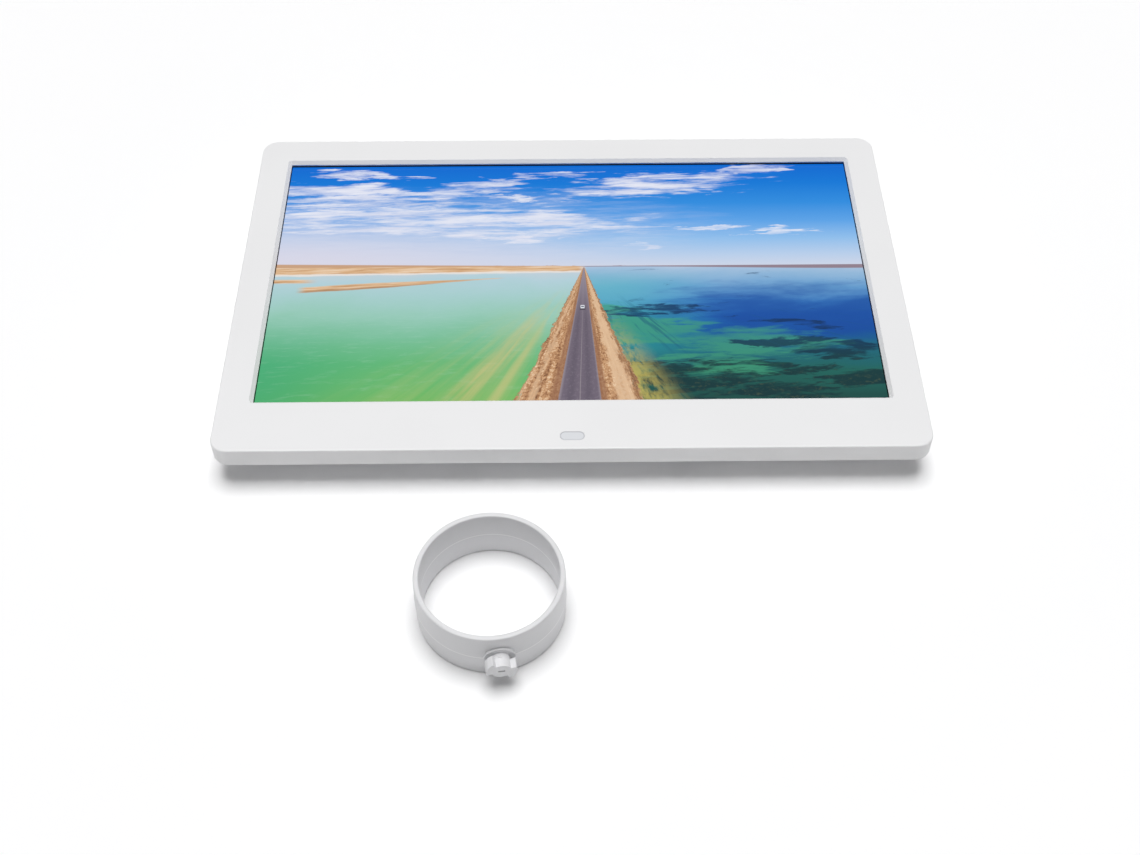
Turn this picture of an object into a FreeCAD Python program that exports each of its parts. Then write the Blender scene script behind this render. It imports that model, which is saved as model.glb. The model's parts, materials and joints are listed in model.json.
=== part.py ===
"""Digital photo frame with a detachable ring stand, as an assembly of its separate pieces.

Row frame, in millimetres: X to the right of the picture, Y towards the picture's top, Z out of the screen.
The frame lies on its back. The origin is the centre of the flat back, which rests on the table at z = 0.
The ring stand is off the frame and stands on its rim in front of the bottom edge.
"""
import FreeCAD, Part
import math
import os
import re

import Sketcher

# ---------------------------------------------------------------- driving dimensions (name, value, note)
DIMENSIONS = (
    ("frame_width", 285.0, "outer width of the front shell"),
    ("frame_height", 186.0, "outer height of the front shell"),
    ("frame_depth", 20.0, "from the flat back to the front face"),
    ("corner_radius", 7.0, "front shell, seen from the front"),
    ("side_height", 8.8, "side wall of the front shell"),
    ("side_wall", 2.2, "thickness of that wall"),
    ("face_wall", 2.0, "thickness of the front face"),
    ("face_round", 0.7, "rounding of the front edge"),
    ("side_round", 0.5, "rounding of the side wall's rear edge"),
    ("window_bevel", 1.4, "bevel around the picture window"),
    ("window_corner", 0.3, "corners of the picture window"),
    ("window_gap", 0.2, "window's clearance to the lit area, each side"),
    ("screen_width", 256.1, "lit area of the 11.6 inch panel"),
    ("screen_height", 144.0, "lit area of the 11.6 inch panel"),
    ("screen_y", 5.5, "centre of the lit area"),
    ("sensor_y", -86.3, "centre of the remote-control sensor's window"),
    ("sensor_width", 9.6, "pill-shaped sensor window"),
    ("sensor_height", 4.2, "pill-shaped sensor window"),
    ("sensor_round", 2.05, "end radius of that pill"),
    ("sensor_flange", 1.0, "flange that holds the window from inside"),
    ("sensor_flange_thick", 0.6, "thickness of that flange"),
    ("sensor_gap", 0.06, "clearance around the window"),
    ("shell_gap", 0.2, "gap between the two shells"),
    ("cover_wall", 2.0, "thickness of the rear cover"),
    ("cover_slope", 15.0, "width of the rear cover's sloping border"),
    ("cover_lip", 1.0, "rear cover's rim inside the front shell"),
    ("plateau_radius", 14.0, "corners of the flat back"),
    ("rim_wall", 2.0, "thickness of the rear cover's rim"),
    ("slope_set", 0.7, "step of the inner slope, so that the wall keeps its thickness"),
    ("boss_radius", 2.7, "screw bosses of the front shell"),
    ("pilot_radius", 1.05, "pilot hole for a 2 mm screw"),
    ("boss_end_z", 12.4, "where the front bosses meet the rear pillars"),
    ("pilot_depth", 4.8, "depth of the pilot holes"),
    ("outer_boss_x", 133.5, "corner screws"),
    ("inner_boss_x", 45.0, "middle screws"),
    ("boss_y", 86.3, "screws along the top and bottom edges"),
    ("pillar_radius", 3.3, "rear cover's pillars under those bosses"),
    ("pillar_foot_z", 5.0, "where the pillars start, inside the wall"),
    ("head_recess_radius", 2.4, "recess for the cover screws' heads"),
    ("head_seat_z", 10.2, "seat of the cover screws' heads"),
    ("clearance_radius", 1.2, "through hole for a 2 mm screw"),
    ("screw_radius", 1.0, "2 mm self-tapping screw"),
    ("screw_head_radius", 1.9, "its pan head"),
    ("screw_head_height", 1.2, "its pan head"),
    ("screw_drive_radius", 0.75, "its cross recess, as a round pocket"),
    ("screw_drive_depth", 0.6, "its cross recess"),
    ("cover_screw_length", 6.4, "shank of the cover screws"),
    ("short_screw_length", 4.2, "shank of the inner screws"),
    ("clamp_boss_radius", 2.5, "bosses for the panel clamps"),
    ("top_clamp_x", 85.0, "upper panel clamps"),
    ("top_clamp_y", 85.3, "upper panel clamps"),
    ("low_clamp_x", 122.0, "lower panel clamps"),
    ("low_clamp_y", -81.0, "lower panel clamps"),
    ("clamp_width", 9.0, "sheet-metal panel clamp"),
    ("clamp_length", 13.0, "sheet-metal panel clamp"),
    ("clamp_thick", 0.8, "sheet-metal panel clamp"),
    ("clamp_overhang", 3.2, "clamp beyond its screw, away from the panel"),
    ("panel_width", 268.0, "outline of the panel"),
    ("panel_height", 157.6, "outline of the panel"),
    ("panel_y", 3.3, "centre of that outline"),
    ("panel_back_z", 13.5, "back of the panel"),
    ("panel_thick", 4.0, "thickness of the panel"),
    ("tin_thick", 0.3, "sheet steel of the panel's front frame"),
    ("tin_lip", 0.5, "its opening beyond the lit area, each side"),
    ("gasket_width", 3.0, "foam strip between the front shell and the panel"),
    ("tray_gap", 0.1, "clearance between the panel's layers"),
    ("plate_thick", 0.4, "panel's back plate"),
    ("ledge_z", 15.85, "ledge in the moulded tray that the glass lies on"),
    ("glass_inset", 2.2, "glass cell inside the panel's outline, each side"),
    ("glass_thick", 1.28, "liquid-crystal cell with its polarisers"),
    ("film_width", 258.0, "diffuser films, light guide and reflector"),
    ("film_height", 146.0, "diffuser films"),
    ("film_y", 4.6, "centre of the films"),
    ("film_thick", 0.65, "stack of diffuser films"),
    ("guide_height", 143.0, "light guide"),
    ("guide_y", 6.1, "centre of the light guide"),
    ("guide_thick", 0.95, "light guide"),
    ("reflector_thick", 0.15, "white reflector sheet"),
    ("strip_length", 250.0, "flexible strip of the backlight"),
    ("strip_width", 2.6, "flexible strip of the backlight"),
    ("strip_thick", 0.2, "flexible strip of the backlight"),
    ("strip_y", -66.9, "flexible strip of the backlight"),
    ("led_length", 3.0, "one backlight LED"),
    ("led_width", 0.8, "one backlight LED"),
    ("led_height", 0.7, "one backlight LED"),
    ("led_pitch", 8.0, "spacing of the LEDs"),
    ("driver_length", 230.0, "panel's driver board"),
    ("driver_width", 13.0, "panel's driver board"),
    ("driver_thick", 0.8, "panel's driver board"),
    ("driver_y", -68.0, "panel's driver board"),
    ("driver_gap", 0.2, "tape between the driver board and the panel"),
    ("driver_chip", 9.0, "timing controller, square"),
    ("driver_chip_x", -34.0, "timing controller"),
    ("driver_chip_thick", 1.1, "timing controller"),
    ("driver_socket_length", 24.0, "display connector on the driver board"),
    ("driver_socket_width", 4.6, "display connector on the driver board"),
    ("driver_socket_x", 38.0, "display connector on the driver board"),
    ("board_length", 100.0, "main board along X"),
    ("board_width", 80.0, "main board along Y"),
    ("board_thick", 1.6, "main board"),
    ("board_x", 66.0, "centre of the main board"),
    ("board_y", -2.0, "centre of the main board"),
    ("board_z", 9.6, "component side of the main board, which faces the back"),
    ("board_left_screw_x", 21.0, "main board's screws"),
    ("board_right_screw_x", 84.0, "main board's screws"),
    ("board_top_screw_y", 24.0, "main board's screws"),
    ("board_low_screw_y", -37.0, "main board's screws"),
    ("post_radius", 2.75, "rear cover's posts for the boards"),
    ("post_foot_z", 1.5, "where the posts start, inside the wall"),
    ("post_pilot_depth", 5.0, "pilot holes in the posts"),
    ("bay_x", 118.3, "outer face of the port bay's wall"),
    ("bay_low_y", -46.0, "port bay's lower end"),
    ("bay_top_y", 42.0, "port bay's upper end"),
    ("bay_ceiling_z", 10.6, "port bay's ceiling"),
    ("port_face_x", 117.6, "front of the sockets, inside the bay wall"),
    ("port_gap", 0.2, "clearance around the sockets in that wall"),
    ("card_y", -29.0, "memory-card socket"),
    ("card_length", 28.0, "memory-card socket"),
    ("card_width", 26.0, "memory-card socket"),
    ("card_height", 2.9, "memory-card socket"),
    ("card_slot_width", 24.4, "its slot"),
    ("card_slot_height", 2.3, "its slot"),
    ("card_slot_depth", 24.0, "its slot"),
    ("usb_y", -6.0, "USB socket"),
    ("usb_length", 14.0, "USB socket"),
    ("usb_width", 13.2, "USB socket"),
    ("usb_height", 5.8, "USB socket"),
    ("usb_skin", 0.35, "sheet metal of the USB socket"),
    ("usb_depth", 11.5, "free depth of the USB socket"),
    ("tongue_length", 9.0, "contact tongue of the USB socket"),
    ("tongue_width", 11.1, "contact tongue of the USB socket"),
    ("tongue_thick", 1.8, "contact tongue of the USB socket"),
    ("tongue_offset", 0.55, "tongue's distance from the shell, board side"),
    ("mini_y", 9.0, "small USB socket"),
    ("mini_length", 9.2, "small USB socket"),
    ("mini_width", 7.7, "small USB socket"),
    ("mini_height", 3.9, "small USB socket"),
    ("mini_skin", 0.4, "sheet metal of the small USB socket"),
    ("mini_depth", 6.8, "free depth of the small USB socket"),
    ("phone_y", 19.0, "earphone jack"),
    ("phone_face_x", 116.2, "front of the earphone jack, behind the bay wall"),
    ("phone_access_radius", 3.2, "hole for the plug's sleeve in the bay wall"),
    ("phone_z", 6.9, "axis of the earphone jack"),
    ("phone_length", 12.0, "body of the earphone jack"),
    ("phone_width", 6.4, "body of the earphone jack"),
    ("phone_height", 5.0, "body of the earphone jack"),
    ("phone_nose_radius", 2.4, "nose of the earphone jack"),
    ("phone_bore_radius", 1.8, "bore for a 3.5 mm plug"),
    ("phone_bore_depth", 13.0, "depth of that bore"),
    ("power_y", 30.5, "power inlet"),
    ("power_face_x", 117.6, "front of the power inlet, inside the bay wall"),
    ("power_z", 6.4, "axis of the power inlet"),
    ("power_length", 11.5, "body of the power inlet"),
    ("power_width", 7.6, "body of the power inlet"),
    ("power_height", 6.4, "body of the power inlet"),
    ("power_nose_radius", 3.1, "nose of the power inlet"),
    ("power_bore_radius", 2.2, "bore for a 4.0 mm barrel plug"),
    ("power_bore_depth", 9.5, "depth of that bore"),
    ("power_pin_radius", 0.8, "centre pin, for a 1.7 mm hole"),
    ("power_pin_length", 8.0, "centre pin"),
    ("nose_length", 2.4, "noses of the two round jacks"),
    ("chip_size", 20.0, "main processor, square"),
    ("chip_thick", 1.4, "main processor"),
    ("chip_x", 60.0, "main processor"),
    ("chip_y", 0.0, "main processor"),
    ("memory_length", 12.0, "memory chips"),
    ("memory_width", 8.0, "memory chips"),
    ("memory_thick", 1.1, "memory chips"),
    ("coil_size", 7.0, "power inductors, square"),
    ("coil_height", 3.4, "power inductors"),
    ("can_radius", 3.15, "electrolytic capacitors"),
    ("can_height", 5.4, "electrolytic capacitors"),
    ("cell_radius", 6.25, "clock battery"),
    ("cell_thick", 2.5, "clock battery"),
    ("cell_x", 38.0, "clock battery"),
    ("cell_y", 18.0, "clock battery"),
    ("holder_length", 15.0, "battery holder"),
    ("holder_width", 14.0, "battery holder"),
    ("holder_thick", 1.0, "battery holder"),
    ("header_length", 7.0, "wire headers on the main board"),
    ("header_width", 4.4, "wire headers on the main board"),
    ("header_height", 3.2, "wire headers on the main board"),
    ("header_y", -39.0, "wire headers on the main board"),
    ("speaker_header_x", 73.0, "wire headers on the main board"),
    ("sensor_header_x", 55.0, "wire headers on the main board"),
    ("light_header_x", 64.0, "wire headers on the main board"),
    ("plug_length_x", 5.0, "small wire plugs on the driver and sensor boards"),
    ("plug_width_y", 3.0, "small wire plugs on the driver and sensor boards"),
    ("plug_height_z", 1.9, "small wire plugs on the driver and sensor boards"),
    ("light_plug_x", 82.0, "backlight's plug on the driver board"),
    ("light_plug_y", -64.0, "backlight's plug on the driver board"),
    ("sensor_plug_y", -83.9, "plug on the sensor board"),
    ("display_header_x", 38.0, "display header on the main board"),
    ("display_header_length", 22.0, "display header on the main board"),
    ("key_header_x", 20.0, "flat-cable header for the keys"),
    ("key_header_y", 33.5, "flat-cable header for the keys"),
    ("key_header_length", 8.0, "flat-cable header for the keys, along Y"),
    ("key_header_height", 2.2, "flat-cable header for the keys"),
    ("key_y", 36.0, "row of keys on the back"),
    ("key_centre_x", -65.0, "middle key"),
    ("key_pitch", 13.0, "spacing of the keys"),
    ("key_radius", 3.7, "key caps"),
    ("key_gap", 0.2, "clearance around the key caps"),
    ("key_pocket_depth", 1.0, "sunk strip that the keys stand in"),
    ("key_pocket_height", 11.0, "sunk strip, along Y"),
    ("key_pocket_length", 92.0, "sunk strip, along X"),
    ("key_pocket_round", 5.4, "ends of the sunk strip"),
    ("key_pad_margin", 1.4, "thickened wall around the sunk strip"),
    ("key_face_z", 0.3, "faces of the caps, just inside the flat back"),
    ("key_flange_radius", 4.7, "flanges that hold the caps in"),
    ("key_flange_z", 3.05, "flanges of the caps"),
    ("key_flange_thick", 0.8, "flanges of the caps"),
    ("key_stem_radius", 1.5, "stems of the caps"),
    ("plunger_z", 4.3, "tips of the switch plungers"),
    ("plunger_radius", 1.7, "switch plungers"),
    ("plunger_length", 1.4, "switch plungers"),
    ("switch_size", 6.2, "tactile switches, square"),
    ("switch_z", 5.0, "faces of the tactile switches"),
    ("switch_height", 3.5, "tactile switches"),
    ("switch_well_radius", 1.8, "wells that the plungers move in"),
    ("switch_well_depth", 1.3, "wells that the plungers move in"),
    ("key_board_length", 110.0, "key board"),
    ("key_board_width", 14.0, "key board"),
    ("key_board_thick", 1.2, "key board"),
    ("key_post_x", 47.5, "key board's screws, from the middle key"),
    ("speaker_x", 92.0, "speakers, left and right"),
    ("speaker_y", -60.0, "speakers"),
    ("speaker_radius", 13.0, "speakers"),
    ("speaker_wall", 0.8, "basket of a speaker"),
    ("speaker_height", 3.0, "basket of a speaker"),
    ("gasket_thick", 0.6, "foam ring under a speaker"),
    ("gasket_inner_radius", 11.0, "foam ring under a speaker"),
    ("cone_radius", 12.2, "diaphragm of a speaker"),
    ("cone_thick", 0.3, "diaphragm of a speaker"),
    ("cone_gap", 0.5, "diaphragm's distance from the foam ring"),
    ("magnet_radius", 7.0, "magnet of a speaker"),
    ("magnet_height", 2.2, "magnet of a speaker"),
    ("grille_slot_width", 1.6, "speaker grille"),
    ("grille_slot_length", 17.0, "speaker grille"),
    ("grille_pitch", 3.2, "speaker grille"),
    ("vent_width", 1.8, "ventilation slots"),
    ("vent_length", 16.0, "ventilation slots"),
    ("vent_pitch", 4.0, "ventilation slots"),
    ("vent_x", 30.0, "first ventilation slot"),
    ("vent_y", 12.0, "rows of slots, from the middle"),
    ("hanger_x", 55.0, "wall-hanging keyholes"),
    ("hanger_y", 58.0, "round part of the keyholes"),
    ("hanger_head_radius", 4.2, "round part of the keyholes"),
    ("hanger_slot_width", 4.4, "narrow part of the keyholes"),
    ("hanger_slot_length", 9.0, "narrow part of the keyholes"),
    ("hanger_pocket_width", 11.0, "closed pocket behind a keyhole"),
    ("hanger_pocket_height", 19.0, "closed pocket behind a keyhole"),
    ("hanger_pocket_depth", 3.6, "closed pocket behind a keyhole"),
    ("hanger_pocket_wall", 1.3, "closed pocket behind a keyhole"),
    ("socket_y", -54.0, "bayonet socket for the stand"),
    ("socket_hole_radius", 6.8, "hole for it in the rear cover"),
    ("socket_plate_radius", 6.7, "face plate of the socket"),
    ("socket_plate_thick", 1.3, "face plate of the socket, in front of the lugs"),
    ("socket_cup_radius", 8.0, "cup of the socket"),
    ("socket_cup_inner", 6.2, "cup of the socket"),
    ("socket_depth", 6.3, "depth of the socket from the flat back"),
    ("socket_end", 1.3, "closed end of the cup"),
    ("socket_core_radius", 4.2, "round hole in the face plate"),
    ("socket_slot_radius", 5.95, "lug slots in the face plate"),
    ("socket_slot_angle", 92.0, "angle of one lug slot"),
    ("socket_ear_x", 11.6, "ears of the socket"),
    ("socket_ear_z", 5.0, "ears of the socket"),
    ("socket_ear_thick", 1.4, "ears of the socket"),
    ("socket_ear_radius", 2.8, "ears of the socket"),
    ("sensor_board_length", 22.0, "board of the remote-control sensor"),
    ("sensor_board_width", 8.0, "board of the remote-control sensor"),
    ("sensor_board_thick", 1.0, "board of the remote-control sensor"),
    ("sensor_board_z", 12.6, "board of the remote-control sensor"),
    ("sensor_screw_x", 8.4, "its screws"),
    ("sensor_screw_y", -84.8, "its screws"),
    ("sensor_boss_radius", 2.0, "its bosses"),
    ("sensor_body_length", 6.6, "infrared receiver"),
    ("sensor_body_width", 5.4, "infrared receiver"),
    ("sensor_body_height", 2.2, "infrared receiver"),
    ("sensor_dome_radius", 1.6, "lens of the infrared receiver"),
    ("ring_radius", 28.1, "outer radius of the ring stand"),
    ("ring_wall", 2.1, "wall of the ring"),
    ("ring_height", 22.5, "height of the ring"),
    ("ring_draft", 0.25, "how much fatter the ring is at its middle"),
    ("ring_rim_round", 0.6, "rounding of its rims"),
    ("ring_x", -31.0, "centre of the ring, off the frame"),
    ("ring_y", -152.7, "centre of the ring, off the frame"),
    ("plug_turn", 8.0, "direction of the plug, from -Y towards +X, in degrees"),
    ("plug_flange_radius", 5.8, "flange of the bayonet plug"),
    ("plug_flange_thick", 0.7, "flange of the bayonet plug"),
    ("plug_radius", 3.7, "neck of the plug"),
    ("plug_length", 5.4, "plug beyond its flange"),
    ("plug_lug_radius", 5.7, "bayonet lugs"),
    ("plug_lug_start", 1.5, "bayonet lugs, from the flange"),
    ("plug_lug_angle", 80.0, "angle of one lug"),
    ("plug_lug_roll", -21.0, "turn of the lugs about the plug's axis"),
    ("plug_spigot_radius", 2.6, "spigot in the ring's wall"),
    ("plug_detent_radius", 0.7, "detent on the neck"),
    ("plug_slot_length", 2.4, "slot in the plug's end"),
    ("plug_slot_width", 0.9, "slot in the plug's end"),
    ("plug_slot_depth", 0.6, "slot in the plug's end"),
    ("wire_radius", 0.8, "two-core wires inside"),
    ("ribbon_width", 7.0, "flat cable of the keys"),
    ("ribbon_thick", 0.3, "flat cable of the keys"),
    ("harness_width", 20.0, "display harness"),
    ("harness_thick", 1.0, "display harness"),
)
NAMES = {name for name, _, _ in DIMENSIONS}
EDGE_TOLERANCE = 0.01
KEY_NAMES = ("power", "menu", "up", "down", "left", "right", "exit")

doc = FreeCAD.newDocument("photo_frame")
sheet = doc.addObject("Spreadsheet::Sheet", "dims")
for row, (name, value, note) in enumerate(DIMENSIONS, 1):
    sheet.set(f"A{row}", note)
    sheet.set(f"B{row}", str(value))
    sheet.setAlias(f"B{row}", name)
doc.recompute()

nodes = []  # every finished sub-part, in the order it is made


# ---------------------------------------------------------------- helpers
def linked(text):
    """The expression with each dimension's name pointing at the sheet."""
    return re.sub(r"[A-Za-z_]\w*", lambda m: "dims." + m.group() if m.group() in NAMES else m.group(),
                  str(text))


def size(text):
    """The expression's present value."""
    return float(sheet.evalExpression(linked(text)))


def bind(obj, prop, text):
    obj.setExpression(prop, linked(text))


def place(obj, at):
    for axis, text in zip("xyz", at):
        bind(obj, f"Placement.Base.{axis}", text)
    return obj


def node(obj, label):
    """Marks obj as a finished sub-part with that name."""
    obj.Label = label
    nodes.append(obj)
    return obj


def block(name, lengths, centre):
    """A block: centre gives x and y of its middle and z of its underside."""
    obj = doc.addObject("Part::Box", name)
    for prop, text in zip(("Length", "Width", "Height"), lengths):
        bind(obj, prop, text)
    x, y, z = centre
    return place(obj, (f"({x}) - ({lengths[0]}) / 2", f"({y}) - ({lengths[1]}) / 2", z))


def rod(name, radius, length, start, along="Z", angle=None):
    """A cylinder from start along Z, X or -Y."""
    obj = doc.addObject("Part::Cylinder", name)
    bind(obj, "Radius", radius)
    bind(obj, "Height", length)
    if angle is not None:
        bind(obj, "Angle", angle)
    turns = {"Z": FreeCAD.Rotation(), "X": FreeCAD.Rotation(FreeCAD.Vector(0, 1, 0), 90),
             "-Y": FreeCAD.Rotation(FreeCAD.Vector(1, 0, 0), 90)}
    obj.Placement = FreeCAD.Placement(FreeCAD.Vector(), turns[along])
    return place(obj, start)


def group(name, parts):
    obj = doc.addObject("Part::Compound", name)
    obj.Links = list(parts)
    return obj


def fuse(name, *parts):
    obj = doc.addObject("Part::MultiFuse", name)
    obj.Shapes = list(parts)
    return obj


def cut(name, base, *tools):
    obj = doc.addObject("Part::Cut", name)
    obj.Base = base
    obj.Tool = tools[0] if len(tools) == 1 else fuse(name + "_tools", *tools)
    return obj


def body(name):
    return doc.addObject("PartDesign::Body", name)


def sketch(owner, name, z="0", role="XY_Plane"):
    """A sketch on one of its body's origin planes, z beyond it."""
    obj = owner.newObject("Sketcher::SketchObject", name)
    plane = next(f for f in owner.Origin.OriginFeatures if f.Role == role)
    obj.AttachmentSupport = [(plane, "")]
    obj.MapMode = "FlatFace"
    bind(obj, "AttachmentOffset.Base.z", z)
    return obj


def hold(sk, geometry, point, x, y):
    """Fixes a sketch point at x, y from the origin."""
    for kind, text in (("DistanceX", x), ("DistanceY", y)):
        value = size(text)
        ends = (-1, 1, geometry, point) if value >= 0 else (geometry, point, -1, 1)
        index = sk.addConstraint(Sketcher.Constraint(kind, *ends, abs(value)))
        bind(sk, f"Constraints[{index}]", text if value >= 0 else f"-({text})")


def circle(sk, x, y, radius):
    centre = FreeCAD.Vector(size(x), size(y), 0)
    g = sk.addGeometry(Part.Circle(centre, FreeCAD.Vector(0, 0, 1), size(radius)), False)
    index = sk.addConstraint(Sketcher.Constraint("Radius", g, size(radius)))
    bind(sk, f"Constraints[{index}]", radius)
    hold(sk, g, 3, x, y)


def rounded(sk, width, height, radius, x="0", y="0"):
    """A rectangle with rounded corners, centred on x, y."""
    w, h, r, cx, cy = (size(text) for text in (width, height, radius, x, y))
    corners = [(cx + sx * w / 2, cy + sy * h / 2) for sx, sy in ((-1, -1), (1, -1), (1, 1), (-1, 1))]
    inward = ((1, 1), (-1, 1), (-1, -1), (1, -1))
    forward = ((1, 0), (0, 1), (-1, 0), (0, -1))
    up = FreeCAD.Vector(0, 0, 1)
    first = sk.GeometryCount
    for k in range(4):
        (x0, y0), (x1, y1), (fx, fy) = corners[k], corners[(k + 1) % 4], forward[k]
        line = Part.LineSegment(FreeCAD.Vector(x0 + fx * r, y0 + fy * r, 0),
                                FreeCAD.Vector(x1 - fx * r, y1 - fy * r, 0))
        ix, iy = inward[(k + 1) % 4]
        start = math.radians(-90 + 90 * k)
        arc = Part.ArcOfCircle(Part.Circle(FreeCAD.Vector(x1 + ix * r, y1 + iy * r, 0), up, r), start,
                               start + math.pi / 2)
        sk.addGeometry([line, arc], False)
    for k in range(4):
        line, arc, following = first + 2 * k, first + 2 * k + 1, first + (2 * k + 2) % 8
        sk.addConstraint(Sketcher.Constraint("Tangent", line, 2, arc, 1))
        sk.addConstraint(Sketcher.Constraint("Tangent", arc, 2, following, 1))
        sk.addConstraint(Sketcher.Constraint("Horizontal" if k % 2 == 0 else "Vertical", line))
        if k:
            sk.addConstraint(Sketcher.Constraint("Equal", first + 1, arc))
    index = sk.addConstraint(Sketcher.Constraint("Radius", first + 1, r))
    bind(sk, f"Constraints[{index}]", radius)
    index = sk.addConstraint(Sketcher.Constraint("DistanceX", first + 6, 1, first + 2, 1, w))
    bind(sk, f"Constraints[{index}]", width)
    index = sk.addConstraint(Sketcher.Constraint("DistanceY", first, 1, first + 4, 1, h))
    bind(sk, f"Constraints[{index}]", height)
    for kind, geometry, text in (("DistanceX", first + 6, f"({x}) - ({width}) / 2"),
                                 ("DistanceY", first, f"({y}) - ({height}) / 2")):
        value = size(text)
        ends = (-1, 1, geometry, 1) if value >= 0 else (geometry, 1, -1, 1)
        index = sk.addConstraint(Sketcher.Constraint(kind, *ends, abs(value)))
        bind(sk, f"Constraints[{index}]", text if value >= 0 else f"-({text})")


def grow(owner, name, profile, length, kind="PartDesign::Pad", reverse=False):
    """A pad, or a pocket that is checked to remove something."""
    before = owner.Shape.Volume if kind == "PartDesign::Pocket" else None
    obj = owner.newObject(kind, name)
    obj.Profile = profile
    bind(obj, "Length", length)
    obj.Reversed = reverse
    doc.recompute()
    if before is not None and not owner.Shape.Volume < before - 1e-6:
        raise RuntimeError(f"{name} cuts nothing")
    return obj


def dress(owner, name, kind, base, prop, text, wanted):
    """A fillet or chamfer on the edges of base that wanted() picks."""
    picked = [f"Edge{i}" for i, edge in enumerate(base.Shape.Edges, 1) if wanted(edge.BoundBox)]
    obj = owner.newObject(kind, name)
    obj.Base = (base, picked)
    bind(obj, prop, text)
    doc.recompute()
    return obj


def level(box, z):
    """True where an edge's bounding box lies in the plane z."""
    return abs(box.ZMin - z) < 1e-4 and abs(box.ZMax - z) < 1e-4


def screws(name, places, length, down=False):
    """2 mm pan-head screws. places are (x, y, z of the head's seat); shanks point up, or down."""
    made = []
    for k, (x, y, z) in enumerate(places):
        head_z = f"({z})" if down else f"({z}) - screw_head_height"
        shank_z = f"({z}) - ({length})" if down else f"({z})"
        drive_z = f"({z}) + screw_head_height - screw_drive_depth" if down else head_z
        head = rod(f"{name}_head_{k}", "screw_head_radius", "screw_head_height", (x, y, head_z))
        shank = rod(f"{name}_shank_{k}", "screw_radius", length, (x, y, shank_z))
        drive = rod(f"{name}_drive_{k}", "screw_drive_radius", "screw_drive_depth", (x, y, drive_z))
        made.append(cut(f"{name}_{k}", fuse(f"{name}_blank_{k}", head, shank), drive))
    return made


def ring_block(name, outer, inner, z, thick):
    """A flat rectangular ring; outer and inner are (width, height, centre y)."""
    a = block(name + "_outer", (outer[0], outer[1], thick), ("0", outer[2], z))
    b = block(name + "_inner", (inner[0], inner[1], thick), ("0", inner[2], z))
    return cut(name, a, b)


def tube(name, points, radius):
    """A round wire along straight runs joined by tangent arcs, with its volume checked."""
    route = [FreeCAD.Vector(*p) for p in points]
    edges, here = [], route[0]
    for before, corner, after in zip(route, route[1:], route[2:]):
        a, b = (before - corner), (after - corner)
        turn = math.pi - a.getAngle(b)
        reach = 0.45 * min(a.Length, b.Length)
        a.normalize()
        b.normalize()
        start, end = corner + a * reach, corner + b * reach
        arc_radius = reach / math.tan(turn / 2)
        middle = corner + (a + b).normalize() * (math.hypot(arc_radius, reach) - arc_radius)
        edges.append(Part.LineSegment(here, start).toShape())
        edges.append(Part.Arc(start, middle, end).toShape())
        here = end
    edges.append(Part.LineSegment(here, route[-1]).toShape())
    path = Part.Wire(edges)
    length = sum(edge.Length for edge in edges)
    section = Part.Wire(Part.makeCircle(radius, route[0], route[1] - route[0]))
    solid = path.makePipeShell([section], True, False)
    expected = math.pi * radius ** 2 * length
    if abs(solid.Volume - expected) > 0.03 * expected:
        raise RuntimeError(f"{name} has the wrong volume")
    obj = doc.addObject("Part::Feature", name)
    obj.Shape = solid
    obj.Placement = FreeCAD.Placement()
    return obj


def corners(x, y):
    """The four mirror images of a place."""
    return [(f"{sx}({x})", f"{sy}({y})") for sx in ("", "-") for sy in ("", "-")]


FACE_BACK = "(frame_depth - face_wall)"
PARTING = "(frame_depth - side_height)"
RIM_TOP = f"({PARTING} + cover_lip)"
COVER_WIDTH = "(frame_width - 2 * side_wall - 2 * shell_gap)"
COVER_HEIGHT = "(frame_height - 2 * side_wall - 2 * shell_gap)"
PANEL_FRONT = "(panel_back_z + panel_thick)"
COVER_SCREWS = corners("outer_boss_x", "boss_y") + corners("inner_boss_x", "boss_y")
CLAMP_SCREWS = [("top_clamp_x", "top_clamp_y"), ("-top_clamp_x", "top_clamp_y"),
                ("low_clamp_x", "low_clamp_y"), ("-low_clamp_x", "low_clamp_y")]
SENSOR_SCREWS = [("sensor_screw_x", "sensor_screw_y"), ("-sensor_screw_x", "sensor_screw_y")]
BOARD_SCREWS = [(x, y) for x in ("board_left_screw_x", "board_right_screw_x")
                for y in ("board_top_screw_y", "board_low_screw_y")]
KEY_PLACES = [(f"key_centre_x + {k - 3} * key_pitch", "key_y") for k in range(len(KEY_NAMES))]
KEY_SCREWS = [("key_centre_x - key_post_x", "key_y"), ("key_centre_x + key_post_x", "key_y")]
SOCKET_SCREWS = [("socket_ear_x", "socket_y"), ("-socket_ear_x", "socket_y")]
SIDES = (("left", "-"), ("right", ""))


# ---------------------------------------------------------------- casing
def reaches(box, half_x, half_y):
    """True where an edge's bounding box goes as far out as half_x or half_y, on any side."""
    return (max(abs(box.XMin), abs(box.XMax)) > half_x - EDGE_TOLERANCE
            or max(abs(box.YMin), abs(box.YMax)) > half_y - EDGE_TOLERANCE)


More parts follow.
